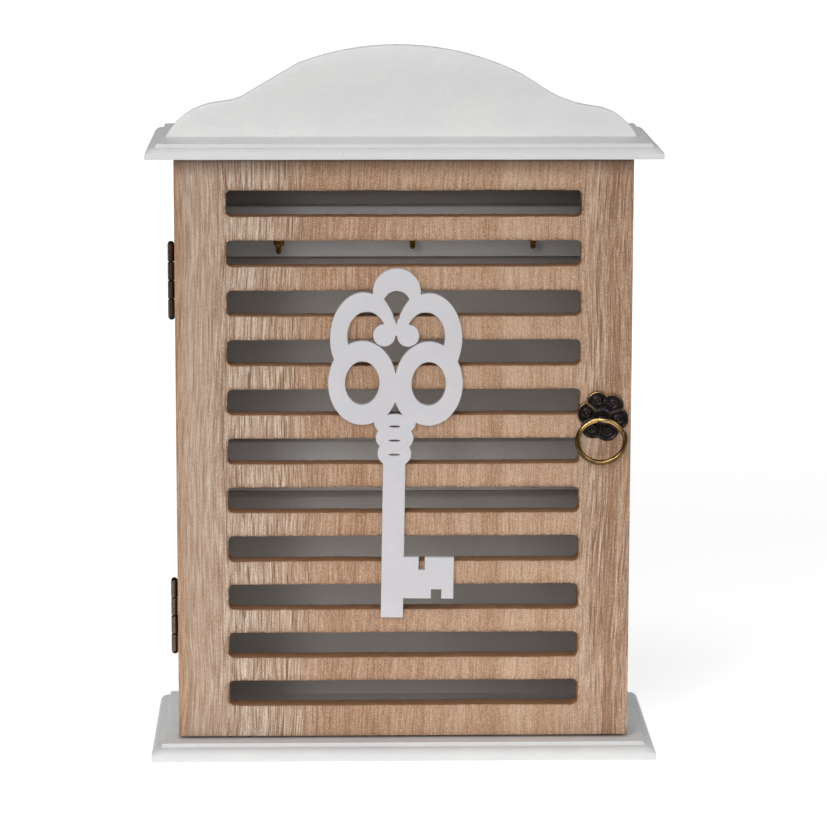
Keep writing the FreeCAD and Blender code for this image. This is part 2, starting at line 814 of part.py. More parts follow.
def carcass():
    """Boards, panels, rails, crest and all that holds them together."""
    screws = base_screws()
    dowels = top_dowels()
    crest_fixings = crest_screws()
    rail_fixings = rail_screws()
    hanger_fixings = hanger_screws()
    pins = back_panel_pins()
    magnet = catch_magnet()
    hinge_fixings = hinge_screws("hinge_frame_screws", POINTING_BACK)
    hooks = []
    for row, level in (("upper", "dims.upper_rail_level"), ("lower", LOWER_RAIL_LEVEL)):
        for word in ("left", "middle", "right"):
            drop = "low_hook_drop" if (row, word) == ("upper", "left") else "hook_drop"
            hook_level = "%s - dims.%s" % (level, drop)
            hooks.append(key_hook("key_hook_%s_%s" % (row, word), "dims.%s_hook" % word, hook_level))
    keep(cut("base_board", moulded_board("base_board", "dims.base_thickness"), [screws]), "base_board")
    top_blank = place(moulded_board("top_board", "dims.top_thickness"), up=TOP_UNDERSIDE)
    keep(cut("top_board", top_blank, [dowels, crest_fixings]), "top_board")
    keep(cut("crest_board", crest_blank(), [crest_fixings]), "crest_board")
    for word, side in (("left", -1), ("right", 1)):
        name = "side_panel_" + word
        inserts = [hinge_fixings] if side < 0 else [magnet]
        keep(cut(name, side_panel_blank(name, side), [screws, dowels, pins] + inserts), name)
    keep(cut("back_panel", back_panel_blank(), [pins, rail_fixings, hanger_fixings]), "back_panel")
    for name, level, own_hooks in (
        ("upper_hook_rail", "dims.upper_rail_level", hooks[:3]),
        ("lower_hook_rail", LOWER_RAIL_LEVEL, hooks[3:]),
    ):
        holes = own_hooks + [rail_fixings, hanger_fixings]
        keep(cut(name, hook_rail_blank(name, level), holes), name)
    for word, side in (("left", -1), ("right", 1)):
        name = "hanger_plate_" + word
        keep(cut(name, hanger_plate_blank(name, side), [hanger_fixings]), name)
    for word, level in (("upper", UPPER_HINGE), ("lower", LOWER_HINGE)):
        hinge_leaf("hinge_frame_leaf_" + word, level, 1, hinge_fixings)
        hinge_pin("hinge_pin_" + word, level)


# Hinges

LEAF_PARTING = 0.1


def hinge_screws(name, rotation):
    """Two small countersunk screws in each of two hinge leaves, heads level with the leaves."""
    head_radius = 1.7
    shank_radius = 0.9
    length = 7.5
    rise = 9.0
    cross_reach = 1.0
    cross_floor = -0.5
    facing = 1 if rotation == POINTING_BACK else -1
    along = "%s + %f" % (HINGE_Y, facing * LEAF_PARTING)
    across = "-dims.door_width / 2 + dims.leaf_width * 0.55"
    places = []
    for level in (UPPER_HINGE, LOWER_HINGE):
        for end in (-1, 1):
            places.append((across, along, "%s + %f" % (level, end * rise)))
    return fastener_set(
        name,
        lambda part: countersunk_screw(part, head_radius, shank_radius, length),
        places,
        rotation,
        (cross_reach, cross_floor),
    )


def hinge_leaf(name, level, facing, screws):
    """One leaf: a plate, and two of the four knuckles. facing is 1 behind the parting, -1 before."""
    first = 0 if facing > 0 else 1
    play = "0" if facing > 0 else "dims.pin_play"
    pitch = "((dims.leaf_height + dims.knuckle_gap) / 4)"
    plate_front = LEAF_PARTING if facing > 0 else -LEAF_PARTING - value("dims.leaf_thickness")
    plate = doc.addObject("Part::Box", name + "_plate")
    plate.setExpression("Length", "dims.leaf_width")
    plate.setExpression("Width", "dims.leaf_thickness")
    plate.setExpression("Height", "dims.leaf_height")
    place(
        plate,
        "-dims.door_width / 2",
        "%s + %f" % (HINGE_Y, plate_front),
        "%s - dims.leaf_height / 2" % level,
    )
    pieces = [plate]
    for index in (first, first + 2):
        foot = "%s + dims.leaf_height / 2 + dims.knuckle_gap - %d * %s" % (level, index + 1, pitch)
        knuckle = doc.addObject("Part::Cylinder", "%s_knuckle_%d" % (name, index + 1))
        knuckle.setExpression("Radius", "dims.knuckle_radius")
        knuckle.setExpression("Height", "%s - dims.knuckle_gap" % pitch)
        place(knuckle, HINGE_X, HINGE_Y, foot)
        strap = doc.addObject("Part::Box", "%s_strap_%d" % (name, index + 1))
        strap.setExpression("Length", "dims.knuckle_radius + dims.barrel_clearance")
        strap.setExpression("Width", "dims.leaf_thickness")
        strap.setExpression("Height", "%s - dims.knuckle_gap" % pitch)
        place(strap, HINGE_X, "%s + %f" % (HINGE_Y, plate_front), foot)
        pieces += [knuckle, strap]
    bore = doc.addObject("Part::Cylinder", name + "_bore")
    bore.setExpression("Radius", "dims.pin_radius + " + play)
    bore.setExpression("Height", "dims.leaf_height + 2")
    place(bore, HINGE_X, HINGE_Y, "%s - dims.leaf_height / 2 - 1" % level)
    return keep(cut(name, fuse(name + "_blank", pieces), [bore, screws]), name)


def hinge_pin(name, level):
    """A pin with a small domed head at each end."""
    radius = value("dims.pin_radius")
    half = value("dims.leaf_height") / 2 + 0.1
    head_radius = 1.25
    head_height = 0.85
    flank = head_radius * 0.6
    dome_radius = (head_radius ** 2 + head_height ** 2) / (2 * head_height)
    shoulder = (flank, half + head_height - dome_radius + math.sqrt(dome_radius ** 2 - flank ** 2))
    body = new_body(name)
    profile = new_sketch(body, "XZ_Plane", "profile")
    outline(profile, (0, -half - head_height), [
        ((shoulder[0], -shoulder[1]), (head_radius, -half)),
        (radius, -half),
        (radius, half),
        (head_radius, half),
        (shoulder, (0, half + head_height)),
        (0, -half - head_height),
    ])
    revolve(body, profile, "V_Axis")
    place(body, HINGE_X, HINGE_Y, level)
    return keep(body, name)


# Door


def door_blank():
    """The veneered board with its row of slots."""
    body = new_body("door_panel_blank")
    face = new_sketch(body, "XZ_Plane", "face")
    rectangle(face, "dims.door_width", "dims.door_height")
    pad(body, face, "dims.door_thickness")
    slot = new_sketch(body, "XZ_Plane", "slot", "dims.door_thickness")
    rounded_rectangle(slot, "dims.slot_length", "dims.slot_height", "dims.slot_corner")
    slot.setExpression(
        "AttachmentOffset.Base.y",
        "dims.door_height / 2 - dims.slot_margin - dims.slot_height / 2",
    )
    first_slot = pocket(body, slot)
    row = body.newObject("PartDesign::LinearPattern", "slot_row")
    row.Originals = [first_slot]
    row.Direction = (slot, ["V_Axis"])
    row.Reversed = True
    row.setExpression("Length", "dims.slot_pitch * (dims.slot_count - 1)")
    row.setExpression("Occurrences", "dims.slot_count")
    body.Tip = row
    doc.recompute()
    return place(body, along=DOOR_BACK, up="%s + dims.door_height / 2" % DOOR_BOTTOM)


def key_ornament():
    """A flat key cut from thin board: a lobed bow with scrolls, a collar, a shaft and a bit."""
    body = new_body("key_ornament")
    numbers = count(1)

    def blank():
        return new_sketch(body, "XZ_Plane", "outline_%d" % next(numbers))

    def cutter():
        return new_sketch(body, "XZ_Plane", "opening_%d" % next(numbers), "dims.ornament_thickness")

    def add_ellipse(centre, half_width, half_height):
        sketch = blank()
        ellipse(sketch, centre, half_width, half_height)
        pad(body, sketch, "dims.ornament_thickness")

    def cut_ellipse(centre, half_width, half_height):
        sketch = cutter()
        ellipse(sketch, centre, half_width, half_height)
        pocket(body, sketch)

    def add_outline(start, steps):
        sketch = blank()
        outline(sketch, start, steps)
        pad(body, sketch, "dims.ornament_thickness")

    def cut_outline(start, steps):
        sketch = cutter()
        outline(sketch, start, steps)
        pocket(body, sketch)

    ornament_shaft(add_outline, cut_outline)
    for number in range(3):
        add_ellipse((0, -15.8 - 6.35 * number), 8.4 - 0.8 * number, 5.6)
    web_half = 2.6
    web_foot = -14.0
    web_top = 26.0
    add_outline((-web_half, web_foot), [
        (web_half, web_foot),
        (web_half, web_top),
        (-web_half, web_top),
        (-web_half, web_foot),
    ])
    add_ellipse((0, 36.75), 9.6, 9.6)
    for side in (-1, 1):
        add_ellipse((side * 13.05, 18.2), 13.35, 18.3)
    ornament_openings(cut_ellipse, cut_outline)
    lobe_centre = 13.3
    for side in (-1, 1):
        add_ellipse((side * lobe_centre, 0), 13.65, 17.0)
        add_ellipse((side * 4.78, 19.37), 4.45, 4.45)
    for side in (-1, 1):
        cut_ellipse((side * lobe_centre, 0), 6.85, 8.8)
    cut_outline((0, -7.6), [
        ((1.35, -10.4), (3.0, -12.8)),
        ((0, -12.45), (-3.0, -12.8)),
        ((-1.35, -10.4), (0, -7.6)),
    ])
    for number in range(3):
        cut_ellipse((0, -17.5 - 5.75 * number), 2.2, 0.45)
    tilt = Rotation(Vector(0, 1, 0), value("dims.ornament_tilt"))
    place(body, "dims.ornament_offset", DOOR_FRONT, "dims.ornament_level", tilt)
    return keep(body, "key_ornament")


def ornament_shaft(add_outline, cut_outline):
    """The key's shaft, and its bit with a notch above and a notch below."""
    half = 4.5
    foot = -96.0
    bit_top = -70.9
    bit_foot = -88.0
    bit_reach = 24.7
    add_outline((-half, foot), [
        (half, foot),
        (half, bit_foot),
        (bit_reach, bit_foot),
        (bit_reach, bit_top),
        (half, bit_top),
        (half, -28.0),
        (-half, -28.0),
        (-half, foot),
    ])
    for left, right, low, high in ((10.5, 12.95, -76.2, -70.0), (15.7, 19.8, -89.0, -84.2)):
        cut_outline((left, low), [(right, low), (right, high), (left, high), (left, low)])


def ornament_openings(cut_ellipse, cut_outline):
    """The two upper loops, the gap under the scrolls and the fan between the scrolls' arms."""
    loop_centre = 11.7
    loop_level = 18.95
    for side in (-1, 1):
        cut_ellipse((side * loop_centre, loop_level), 7.8, 9.9)
    gap_top = 19.2
    cut_outline((-loop_centre, 0), [
        (loop_centre, 0),
        (loop_centre, gap_top),
        (-loop_centre, gap_top),
        (-loop_centre, 0),
    ])
    cut_outline((0, 23.95), [
        ((2.4, 29.9), (5.0, 33.9)),
        ((0, 37.34), (-5.0, 33.9)),
        ((-2.4, 29.9), (0, 23.95)),
    ])


def strike_disc():
    """A steel disc with a short spike, pressed into the door's back opposite the magnet."""
    radius = 4.0
    spike = 0.9
    depth = 6.0
    bevel = 0.3
    thickness = value("dims.strike_thickness")
    body = turned_piece("strike_disc", [
        (0, thickness),
        (radius - bevel, thickness),
        (radius, thickness - bevel),
        (radius, 0),
        (spike, 0),
        (spike, spike * 2 - depth),
        (0, -depth),
    ])
    place(
        body,
        "dims.carcass_width / 2 - dims.panel_thickness / 2",
        DOOR_BACK,
        DOOR_BOTTOM + " + dims.door_height / 2",
        POINTING_FORWARD,
    )
    return keep(body, "strike_disc")


def rosette_blank():
    """A cast backplate of six petals, each with a small ringed boss."""
    body = new_body("pull_rosette_blank")
    middle = new_sketch(body, "XZ_Plane", "middle")
    circle(middle, "dims.petal_circle")
    pad(body, middle, "dims.rosette_thickness")
    petal = new_sketch(body, "XZ_Plane", "petal")
    circle(petal, "dims.petal_radius", "dims.petal_circle")
    petal_pad = pad(body, petal, "dims.rosette_thickness")
    boss = new_sketch(body, "XZ_Plane", "boss", "dims.rosette_thickness")
    circle(boss, "dims.boss_radius", "dims.boss_circle")
    boss_pad = pad(body, boss, "dims.boss_height")
    ring = body.newObject("PartDesign::PolarPattern", "petal_ring")
    ring.Originals = [petal_pad, boss_pad]
    ring.Axis = (middle, ["N_Axis"])
    ring.Angle = 360
    ring.Occurrences = 6
    body.Tip = ring
    doc.recompute()
    turn = Rotation(Vector(0, 1, 0), -value("dims.rosette_turn"))
    return place(body, "dims.pull_offset", DOOR_FRONT, "dims.pull_level", turn)


WASHER_THICKNESS = 0.5


def pull_eye_blank():
    """A stud through rosette and door, with a cross-drilled eye in front and a riveted end."""
    stud_radius = 1.1
    stud_start = 1.8
    rivet_radius = 1.7
    barrel = doc.addObject("Part::Cylinder", "pull_eye_barrel")
    barrel.setExpression("Radius", "dims.eye_radius")
    barrel.setExpression("Height", "dims.eye_width")
    place(
        barrel,
        "dims.pull_offset - dims.eye_width / 2",
        "%s - dims.eye_reach" % DOOR_FRONT,
        "dims.eye_level",
        POINTING_RIGHT,
    )
    stud = doc.addObject("Part::Cylinder", "pull_eye_stud")
    stud.Radius = stud_radius
    behind_eye = "dims.eye_reach - %f" % stud_start
    stud.setExpression("Height", "%s + dims.door_thickness + %f" % (behind_eye, WASHER_THICKNESS))
    neck = doc.addObject("Part::Cone", "pull_eye_neck")
    neck.Radius1 = 2.4
    neck.Radius2 = 1.7
    neck.Height = 1.2
    rivet = doc.addObject("Part::Cone", "pull_eye_rivet")
    rivet.Radius1 = rivet_radius
    rivet.Radius2 = 1.0
    rivet.Height = 0.7
    washer_back = "%s + %f" % (DOOR_BACK, WASHER_THICKNESS)
    rosette_front = "%s - dims.rosette_thickness" % DOOR_FRONT
    place(stud, "dims.pull_offset", washer_back, "dims.eye_level", POINTING_BACK)
    place(neck, "dims.pull_offset", rosette_front, "dims.eye_level", POINTING_BACK)
    place(rivet, "dims.pull_offset", washer_back, "dims.eye_level", POINTING_FORWARD)
    return fuse("pull_eye_blank", [barrel, stud, neck, rivet])


def pull_eye():
    """The eye with its hole drilled from side to side."""
    hole = doc.addObject("Part::Cylinder", "pull_eye_hole")
    hole.setExpression("Radius", "dims.eye_hole")
    hole.setExpression("Height", "dims.eye_width + 2")
    place(
        hole,
        "dims.pull_offset - dims.eye_width / 2 - 1",
        "%s - dims.eye_reach" % DOOR_FRONT,
        "dims.eye_level",
        POINTING_RIGHT,
    )
    return keep(cut("pull_eye", pull_eye_blank(), [hole]), "pull_eye")


def pull_nail():
    """A round-headed nail through the rosette, between its two upper petals."""
    head_radius = 1.5
    head_height = 0.6
    shank_radius = 0.5
    length = 8.0
    between_petals = math.radians(value("dims.rosette_turn") + 30)
    nail = pan_head_screw("pull_nail", head_radius, head_height, shank_radius, length)
    place(
        nail,
        "dims.pull_offset + dims.nail_circle * %f" % math.cos(between_petals),
        "%s - dims.rosette_thickness" % DOOR_FRONT,
        "dims.pull_level + dims.nail_circle * %f" % math.sin(between_petals),
        POINTING_BACK,
    )
    return keep(nail, "pull_nail")


def pull_washer_blank():
    """A thin washer under the stud's riveted end."""
    washer = doc.addObject("Part::Cylinder", "pull_washer_blank")
    washer.Radius = 2.6
    washer.Height = WASHER_THICKNESS
    return place(washer, "dims.pull_offset", DOOR_BACK, "dims.eye_level", POINTING_FORWARD)


def pull_ring():
    """The oval ring of round wire that hangs in the eye."""
    half_width = value("(dims.ring_width - dims.ring_wire) / 2")
    half_height = value("(dims.ring_height - dims.ring_wire) / 2")
    body = new_body("pull_ring")
    path = new_sketch(body, "XZ_Plane", "path")
    ellipse(path, (0, 0), half_width, half_height)
    section = new_sketch(body, "XY_Plane", "section")
    circle(section, "dims.ring_wire / 2", "(dims.ring_width - dims.ring_wire) / 2")
    doc.recompute()
    wire = body.newObject("PartDesign::AdditivePipe", "ring_wire_sweep")
    wire.Profile = section
    wire.Spine = (path, ["Edge1"])
    doc.recompute()
    place(
        body,
        "dims.pull_offset - dims.ring_shift",
        "%s - dims.eye_reach" % DOOR_FRONT,
        "dims.eye_level - (dims.ring_height - dims.ring_wire) / 2",
    )
    return keep(body, "pull_ring")


def door():
    """The door and all that rides on it."""
    key_ornament()
    strike = strike_disc()
    eye = pull_eye()
    nail = pull_nail()
    leaf_fixings = hinge_screws("hinge_door_screws", POINTING_FORWARD)
    keep(cut("door_panel", door_blank(), [strike, eye, nail, leaf_fixings]), "door_panel")
    keep(cut("pull_rosette", rosette_blank(), [eye, nail]), "pull_rosette")
    keep(cut("pull_washer", pull_washer_blank(), [eye]), "pull_washer")
    for word, level in (("upper", UPPER_HINGE), ("lower", LOWER_HINGE)):
        hinge_leaf("hinge_door_leaf_" + word, level, -1, leaf_fixings)
    pull_ring()


def check_document():
    """Stop if any object failed, or if a sub-part has no sound shape."""
    for item in doc.Objects:
        if "Invalid" in item.State or "Error" in item.State:
            raise RuntimeError("%s failed: %s" % (item.Label, item.State))
    for part in subparts:
        shape = part.Shape
        if shape.isNull() or not shape.isValid() or not shape.Solids:
            raise RuntimeError("%s has no sound shape" % part.Label)


def export():
    """Write each sub-part to its own file."""
    os.makedirs("parts", exist_ok=True)
    for part in subparts:
        part.Shape.exportStep("parts/%s.step" % part.Label)
        print("%-28s %3d solids %12.2f mm3" % (part.Label, len(part.Shape.Solids), part.Shape.Volume))


fill_sheet()
carcass()
door()
doc.recompute()
check_document()
export()
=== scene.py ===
import math
import bmesh
import bpy
from mathutils import Matrix, Vector, geometry, noise


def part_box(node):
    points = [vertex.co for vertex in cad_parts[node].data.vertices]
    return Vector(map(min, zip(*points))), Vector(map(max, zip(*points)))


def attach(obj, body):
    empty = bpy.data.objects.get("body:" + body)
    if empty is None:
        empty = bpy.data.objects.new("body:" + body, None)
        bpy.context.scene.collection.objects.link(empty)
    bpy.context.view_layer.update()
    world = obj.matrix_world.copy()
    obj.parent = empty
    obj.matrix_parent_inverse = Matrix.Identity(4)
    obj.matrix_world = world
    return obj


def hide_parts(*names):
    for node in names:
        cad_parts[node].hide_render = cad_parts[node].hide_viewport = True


# The looks of a small wall key cabinet: white-painted boards, a slatted door in pale veneer
# with a painted key on it, a worn bronze ring pull, bronze hinges and brass hooks inside.
# Shapes are worked out in millimetres in the part's own frame and made in metres.

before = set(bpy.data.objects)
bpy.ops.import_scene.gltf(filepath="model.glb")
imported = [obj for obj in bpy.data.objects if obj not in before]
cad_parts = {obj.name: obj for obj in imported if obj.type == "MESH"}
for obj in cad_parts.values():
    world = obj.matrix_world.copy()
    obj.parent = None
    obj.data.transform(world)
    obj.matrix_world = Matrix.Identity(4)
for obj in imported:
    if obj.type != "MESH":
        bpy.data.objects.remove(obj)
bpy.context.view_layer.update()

MM = 0.001
DOOR = "door"
CABINET = "cabinet"
RING = "ring"


def node_box(node):
    """A CAD node's lowest and highest corner, in millimetres."""
    low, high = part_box(node)
    return low / MM, high / MM


def face_middle(node, back=False):
    """The middle of a CAD node's front or back, in millimetres."""
    low, high = node_box(node)
    middle = (low + high) / 2
    middle.y = high.y if back else low.y
    return middle


# Node trees


class Look:
    """A material's node tree, written a step at a time around one Principled shader."""

    def __init__(self, name, **sockets):
        self.material = bpy.data.materials.new(name)
        self.material.use_nodes = True
        self.tree = self.material.node_tree
        self.shader = self.tree.nodes["Principled BSDF"]
        for socket, number in sockets.items():
            self.shader.inputs[socket.replace("_", " ").capitalize()].default_value = number
        self.place = self.tree.nodes.new("ShaderNodeTexCoord").outputs["Object"]

    def add(self, kind, inputs=(), **settings):
        """A node with its settings, and its inputs linked or filled in order."""
        node = self.tree.nodes.new(kind)
        for setting, choice in settings.items():
            setattr(node, setting, choice)
        for key, given in dict(inputs).items():
            self.fill(node.inputs[key], given)
        return node

    def fill(self, socket, given):
        """Link a socket to another, or set its own value."""
        if isinstance(given, bpy.types.NodeSocket):
            self.tree.links.new(given, socket)
        else:
            socket.default_value = given

    def sum(self, operation, first, second=0.0, third=0.0, clamp=False):
        """A math node on one to three numbers."""
        inputs = {0: first, 1: second, 2: third}
        return self.add("ShaderNodeMath", inputs, operation=operation, use_clamp=clamp).outputs[0]

    def times(self, first, second, clamp=False):
        """The product of two numbers."""
        return self.sum("MULTIPLY", first, second, clamp=clamp)

    def centred(self, field):
        """A field from 0 to 1 moved down to lie evenly around 0."""
        return self.sum("SUBTRACT", field, 0.5)

    def stretched(self, across, along, up):
        """The object's own coordinates, in millimetres, times a factor along each axis."""
        scale = (across / MM, along / MM, up / MM)
        return self.add("ShaderNodeMapping", {"Vector": self.place, "Scale": scale}).outputs[0]

    def noise(self, vector, detail=2.0, roughness=0.5, warp=0.0):
        """A noise from 0 to 1 that follows a vector."""
        inputs = {
            "Vector": vector, "Scale": 1.0, "Detail": detail,
            "Roughness": roughness, "Distortion": warp,
        }
        return self.add("ShaderNodeTexNoise", inputs).outputs["Fac"]

    def speckle(self, across, along, up, detail=2.0, roughness=0.5, warp=0.0):
        """A noise in the object's own coordinates, stretched by a factor along each axis."""
        return self.noise(self.stretched(across, along, up), detail, roughness, warp)

    def curve(self, number, low, high, to_low=0.0, to_high=1.0):
        """A smooth step from to_low to to_high as a number goes from low to high."""
        inputs = {"Value": number, 1: low, 2: high, 3: to_low, 4: to_high}
        return self.add("ShaderNodeMapRange", inputs, interpolation_type="SMOOTHSTEP").outputs[0]

    def ramp(self, number, stops):
        """Colours or greys at places from 0 to 1."""
        node = self.add("ShaderNodeValToRGB", {"Fac": number})
        elements = node.color_ramp.elements
        while len(elements) < len(stops):
            elements.new(1.0)
        for element, (place, colour) in zip(elements, stops):
            element.position = place
            grey = not isinstance(colour, tuple)
            element.color = (colour, colour, colour, 1) if grey else (*colour, 1)
        return node.outputs["Color"]

    def mix(self, share, first, second):
        """Two colours mixed."""
        node = self.add("ShaderNodeMix", data_type="RGBA")
        for index, given in ((0, share), (6, first), (7, second)):
            self.fill(node.inputs[index], (*given, 1) if isinstance(given, tuple) else given)
        return node.outputs[2]

    def axis(self, vector, index):
        """One coordinate of a vector."""
        return self.add("ShaderNodeSeparateXYZ", {0: vector}).outputs[index]

    def attribute(self, name):
        """A number painted on the mesh's points."""
        return self.add("ShaderNodeAttribute", attribute_name=name).outputs["Fac"]

    def edges(self, radius):
        """1 at sharp outer edges, falling to 0 a few radii away."""
        soft = self.add("ShaderNodeBevel", {"Radius": radius * MM}, samples=6).outputs[0]
        true = self.add("ShaderNodeNewGeometry").outputs["Normal"]
        across = self.add("ShaderNodeVectorMath", {0: soft, 1: true}, operation="DOT_PRODUCT")
        return self.curve(across.outputs["Value"], 0.995, 0.86)

    def finish(self, colour, roughness, height, depth, strength):
        """Send colour and roughness to the shader, with a relief up to depth millimetres."""
        self.fill(self.shader.inputs["Base Color"], colour)
        self.fill(self.shader.inputs["Roughness"], roughness)
        inputs = {"Height": height, "Distance": depth * MM, "Strength": strength}
        self.fill(self.shader.inputs["Normal"], self.add("ShaderNodeBump", inputs).outputs[0])
        return self.material


def linear(red, green, blue):
    """A colour given as 0 to 255 display values, in linear light."""
    def one(channel):
        share = channel / 255
        return share / 12.92 if share <= 0.04045 else ((share + 0.055) / 1.055) ** 2.4
    return (one(red), one(green), one(blue))


# The colour of the painted shade inside the cabinet.
END_SHADE_COLOUR = linear(112, 100, 90)
FIBRE = linear(150, 118, 88)
INNER_HALF_WIDTH = 82.4


def painted_end_shade(look, colour, start, full, most):
    """Painted shade towards the ends of the inside: a dark brownish grey mixed in, in uneven clouds."""
    from_middle = look.sum("ABSOLUTE", look.axis(look.place, 0))
    ends = look.curve(from_middle, start * MM, full * MM, 0.0, most)
    inside = look.curve(from_middle, (INNER_HALF_WIDTH + 0.2) * MM, (INNER_HALF_WIDTH - 0.2) * MM)
    cloudy = look.curve(look.speckle(0.06, 0.06, 0.06, 3), 0.3, 0.7, 0.85, 1.0)
    return look.mix(look.times(look.times(ends, inside), cloudy), colour, END_SHADE_COLOUR)


def white_paint(name, warm, cool, core=FIBRE, roughness=0.42, wear_and_highlight=0.55, end_shade=None, shade_lines=()):
    """Brushed satin paint on fibreboard: soft clouds, faint brush lines, specks and edges bared to the
    board.

    Painted shade may darken it towards the ends of the inside, and painted shade lines may lie at given
    levels in millimetres.
    """
    look = Look(name)
    clouds = look.speckle(0.02, 0.03, 0.035, 3, 0.6)
    colour = look.mix(look.curve(clouds, 0.35, 0.65), cool, warm)
    brushed = look.speckle(0.05, 0.4, 2.2, 3, 0.6)
    rolled = look.speckle(1.6, 1.6, 1.6, 2, 0.5)
    dirt = look.speckle(0.8, 0.8, 0.8, 1, 0.5, 0.6)
    colour = look.mix(look.curve(dirt, 0.76, 0.83, 0.0, 0.45), colour, linear(150, 140, 122))
    shaded = look.curve(look.speckle(0.25, 0.25, 0.5, 2), 0.3, 0.7, 0.0, 0.03)
    colour = look.mix(shaded, colour, linear(120, 116, 108))
    patches = look.curve(look.speckle(0.22, 0.3, 0.5, 3, 0.7), 0.6, 0.66)
    wear_and_highlight_share = look.times(look.edges(0.35), look.times(patches, wear_and_highlight))
    colour = look.mix(wear_and_highlight_share, colour, core)
    # painted shade towards the ends of the inside
    if end_shade:
        colour = painted_end_shade(look, colour, *end_shade)
    # Painted shade: a dark line at each given level, standing for the shadow under a rail's lower edge.
    for level in shade_lines:
        from_shade_line = look.sum("ABSOLUTE", look.sum("SUBTRACT", look.axis(look.place, 2), level * MM))
        shade_line = look.curve(from_shade_line, 0.75 * MM, 0.25 * MM, 0.0, 0.75)
        colour = look.mix(shade_line, colour, linear(60, 52, 46))
    relief = look.sum("ADD", look.times(brushed, 0.5), look.times(rolled, 0.5))
    gloss = look.curve(rolled, 0.3, 0.7, roughness - 0.04, roughness + 0.06)
    return look.finish(colour, gloss, relief, 0.025, 0.5)


# The veneer from the door's hinge side at 0 to its pull side at 1: how deep its colour is,
# how strongly its grain shows, and how many thin veins it has.
TONES = [
    (0.0, 0.74), (0.02, 0.62), (0.034, 0.52), (0.07, 0.50), (0.10, 0.52), (0.12, 0.44),
    (0.16, 0.40), (0.24, 0.44), (0.28, 0.56), (0.31, 0.72), (0.36, 0.64), (0.42, 0.70),
    (0.50, 0.62), (0.56, 0.56), (0.62, 0.54), (0.66, 0.60), (0.70, 0.72), (0.725, 0.44),
    (0.76, 0.44), (0.80, 0.58), (0.88, 0.52), (0.91, 0.52), (0.94, 0.66), (0.955, 0.94),
    (0.975, 0.62), (1.0, 0.70),
]
CONTRASTS = [
    (0.0, 0.6), (0.04, 0.5), (0.09, 0.6), (0.12, 1.0), (0.26, 1.0), (0.30, 0.6),
    (0.5, 0.55), (0.6, 0.45), (0.86, 0.42), (0.89, 0.65), (0.92, 0.85), (1.0, 0.8),
]
VEINS = [
    (0.0, 0.2), (0.05, 0.4), (0.12, 0.55), (0.26, 0.55), (0.32, 0.12), (0.6, 0.0),
    (0.88, 0.1), (0.92, 0.45), (1.0, 0.4),
]
GREY_WOOD = [
    (0.0, linear(218, 204, 188)), (0.3, linear(203, 183, 165)), (0.6, linear(184, 157, 136)),
    (1.0, linear(148, 112, 84)),
]
TAN_WOOD = [
    (0.0, linear(212, 188, 162)), (0.3, linear(200, 170, 143)), (0.6, linear(184, 148, 119)),
    (1.0, linear(148, 106, 72)),
]


def wood_depth(look, grain, fine, share, contrast):
    """How deep the wood's colour is: its tone across the door, with grain of several sizes."""
    depth = look.ramp(share, TONES)
    threads = grain(0.58, 0.012, 3, 0.6, 40.0)
    hair = grain(3.4, 0.11, 2, 0.6, 10.0)
    for field, strength in ((threads, 1.2), (fine, 2.1), (hair, 1.6)):
        own = look.times(look.centred(field), strength)
        depth = look.sum("MULTIPLY_ADD", own, contrast, depth)
    bands = grain(0.085, 0.0035, 2, 0.5, 80.0)
    depth = look.sum("MULTIPLY_ADD", look.centred(bands), 0.4, depth)
    grit = look.speckle(2.2, 2.2, 1.7, 1, 0.7)
    grit_share = look.curve(share, 0.04, 0.13, 0.65, 1.3)
    return look.sum("MULTIPLY_ADD", look.centred(grit), grit_share, depth, clamp=True)


def wood_greyness(look, share):
    """1 in the pale grey wood towards the hinges, 0 in the tan wood, and between at the pull."""
    pale_side = look.curve(share, -0.01, 0.040)
    tan_side = look.curve(share, 0.12, 0.36)
    far_side = look.curve(share, 0.86, 0.92, 0.0, 0.45)
    near_side = look.sum("SUBTRACT", pale_side, tan_side, clamp=True)
    return look.sum("ADD", near_side, far_side, clamp=True)


def wood_pores(look, grain, contrast):
    """Short dark pores, closer in some places, and a few long ones."""
    closer = look.curve(grain(0.35, 0.012, 2, 0.5, 60.0), 0.35, 0.62, 0.0, 0.08)
    pores = look.curve(look.sum("ADD", grain(2.2, 0.075, 0, 0.5, 20.0), closer), 0.67, 0.75)
    long_pores = look.curve(grain(0.9, 0.018, 1, 0.5, 120.0), 0.70, 0.745)
    dark = look.sum("MAXIMUM", pores, look.times(long_pores, 0.8))
    return look.times(dark, look.curve(contrast, 0.4, 1.0, 0.35, 0.95))


def wood_veins(look, grain, share):
    """Thin broken lines up the door, along the middle level of two slow noises."""
    wide_veins = look.centred(grain(0.42, 0.010, 1, 0.5, 160.0))
    close_veins = look.times(look.centred(grain(0.80, 0.016, 1, 0.5, 180.0)), 1 / 1.5)
    nearest = look.sum("MINIMUM", look.sum("ABSOLUTE", wide_veins), look.sum("ABSOLUTE", close_veins))
    broken = look.curve(grain(1.2, 0.06, 1, 0.5, 200.0), 0.40, 0.52)
    veins = look.times(look.curve(nearest, 0.050, 0.014), broken)
    return look.times(veins, look.ramp(share, VEINS))


def painted_top_shade(look, top):
    """Painted shade along the top few millimetres of the door, under the top board's overhang, darkest at
    its edge.
    """
    height = look.axis(look.place, 2)
    shade_band = look.curve(height, (top - 8.6) * MM, (top - 1.1) * MM, 0.0, 0.42)
    rim = look.curve(height, (top - 1.4) * MM, (top - 0.4) * MM, 0.0, 0.3)
    return look.sum("ADD", shade_band, rim)


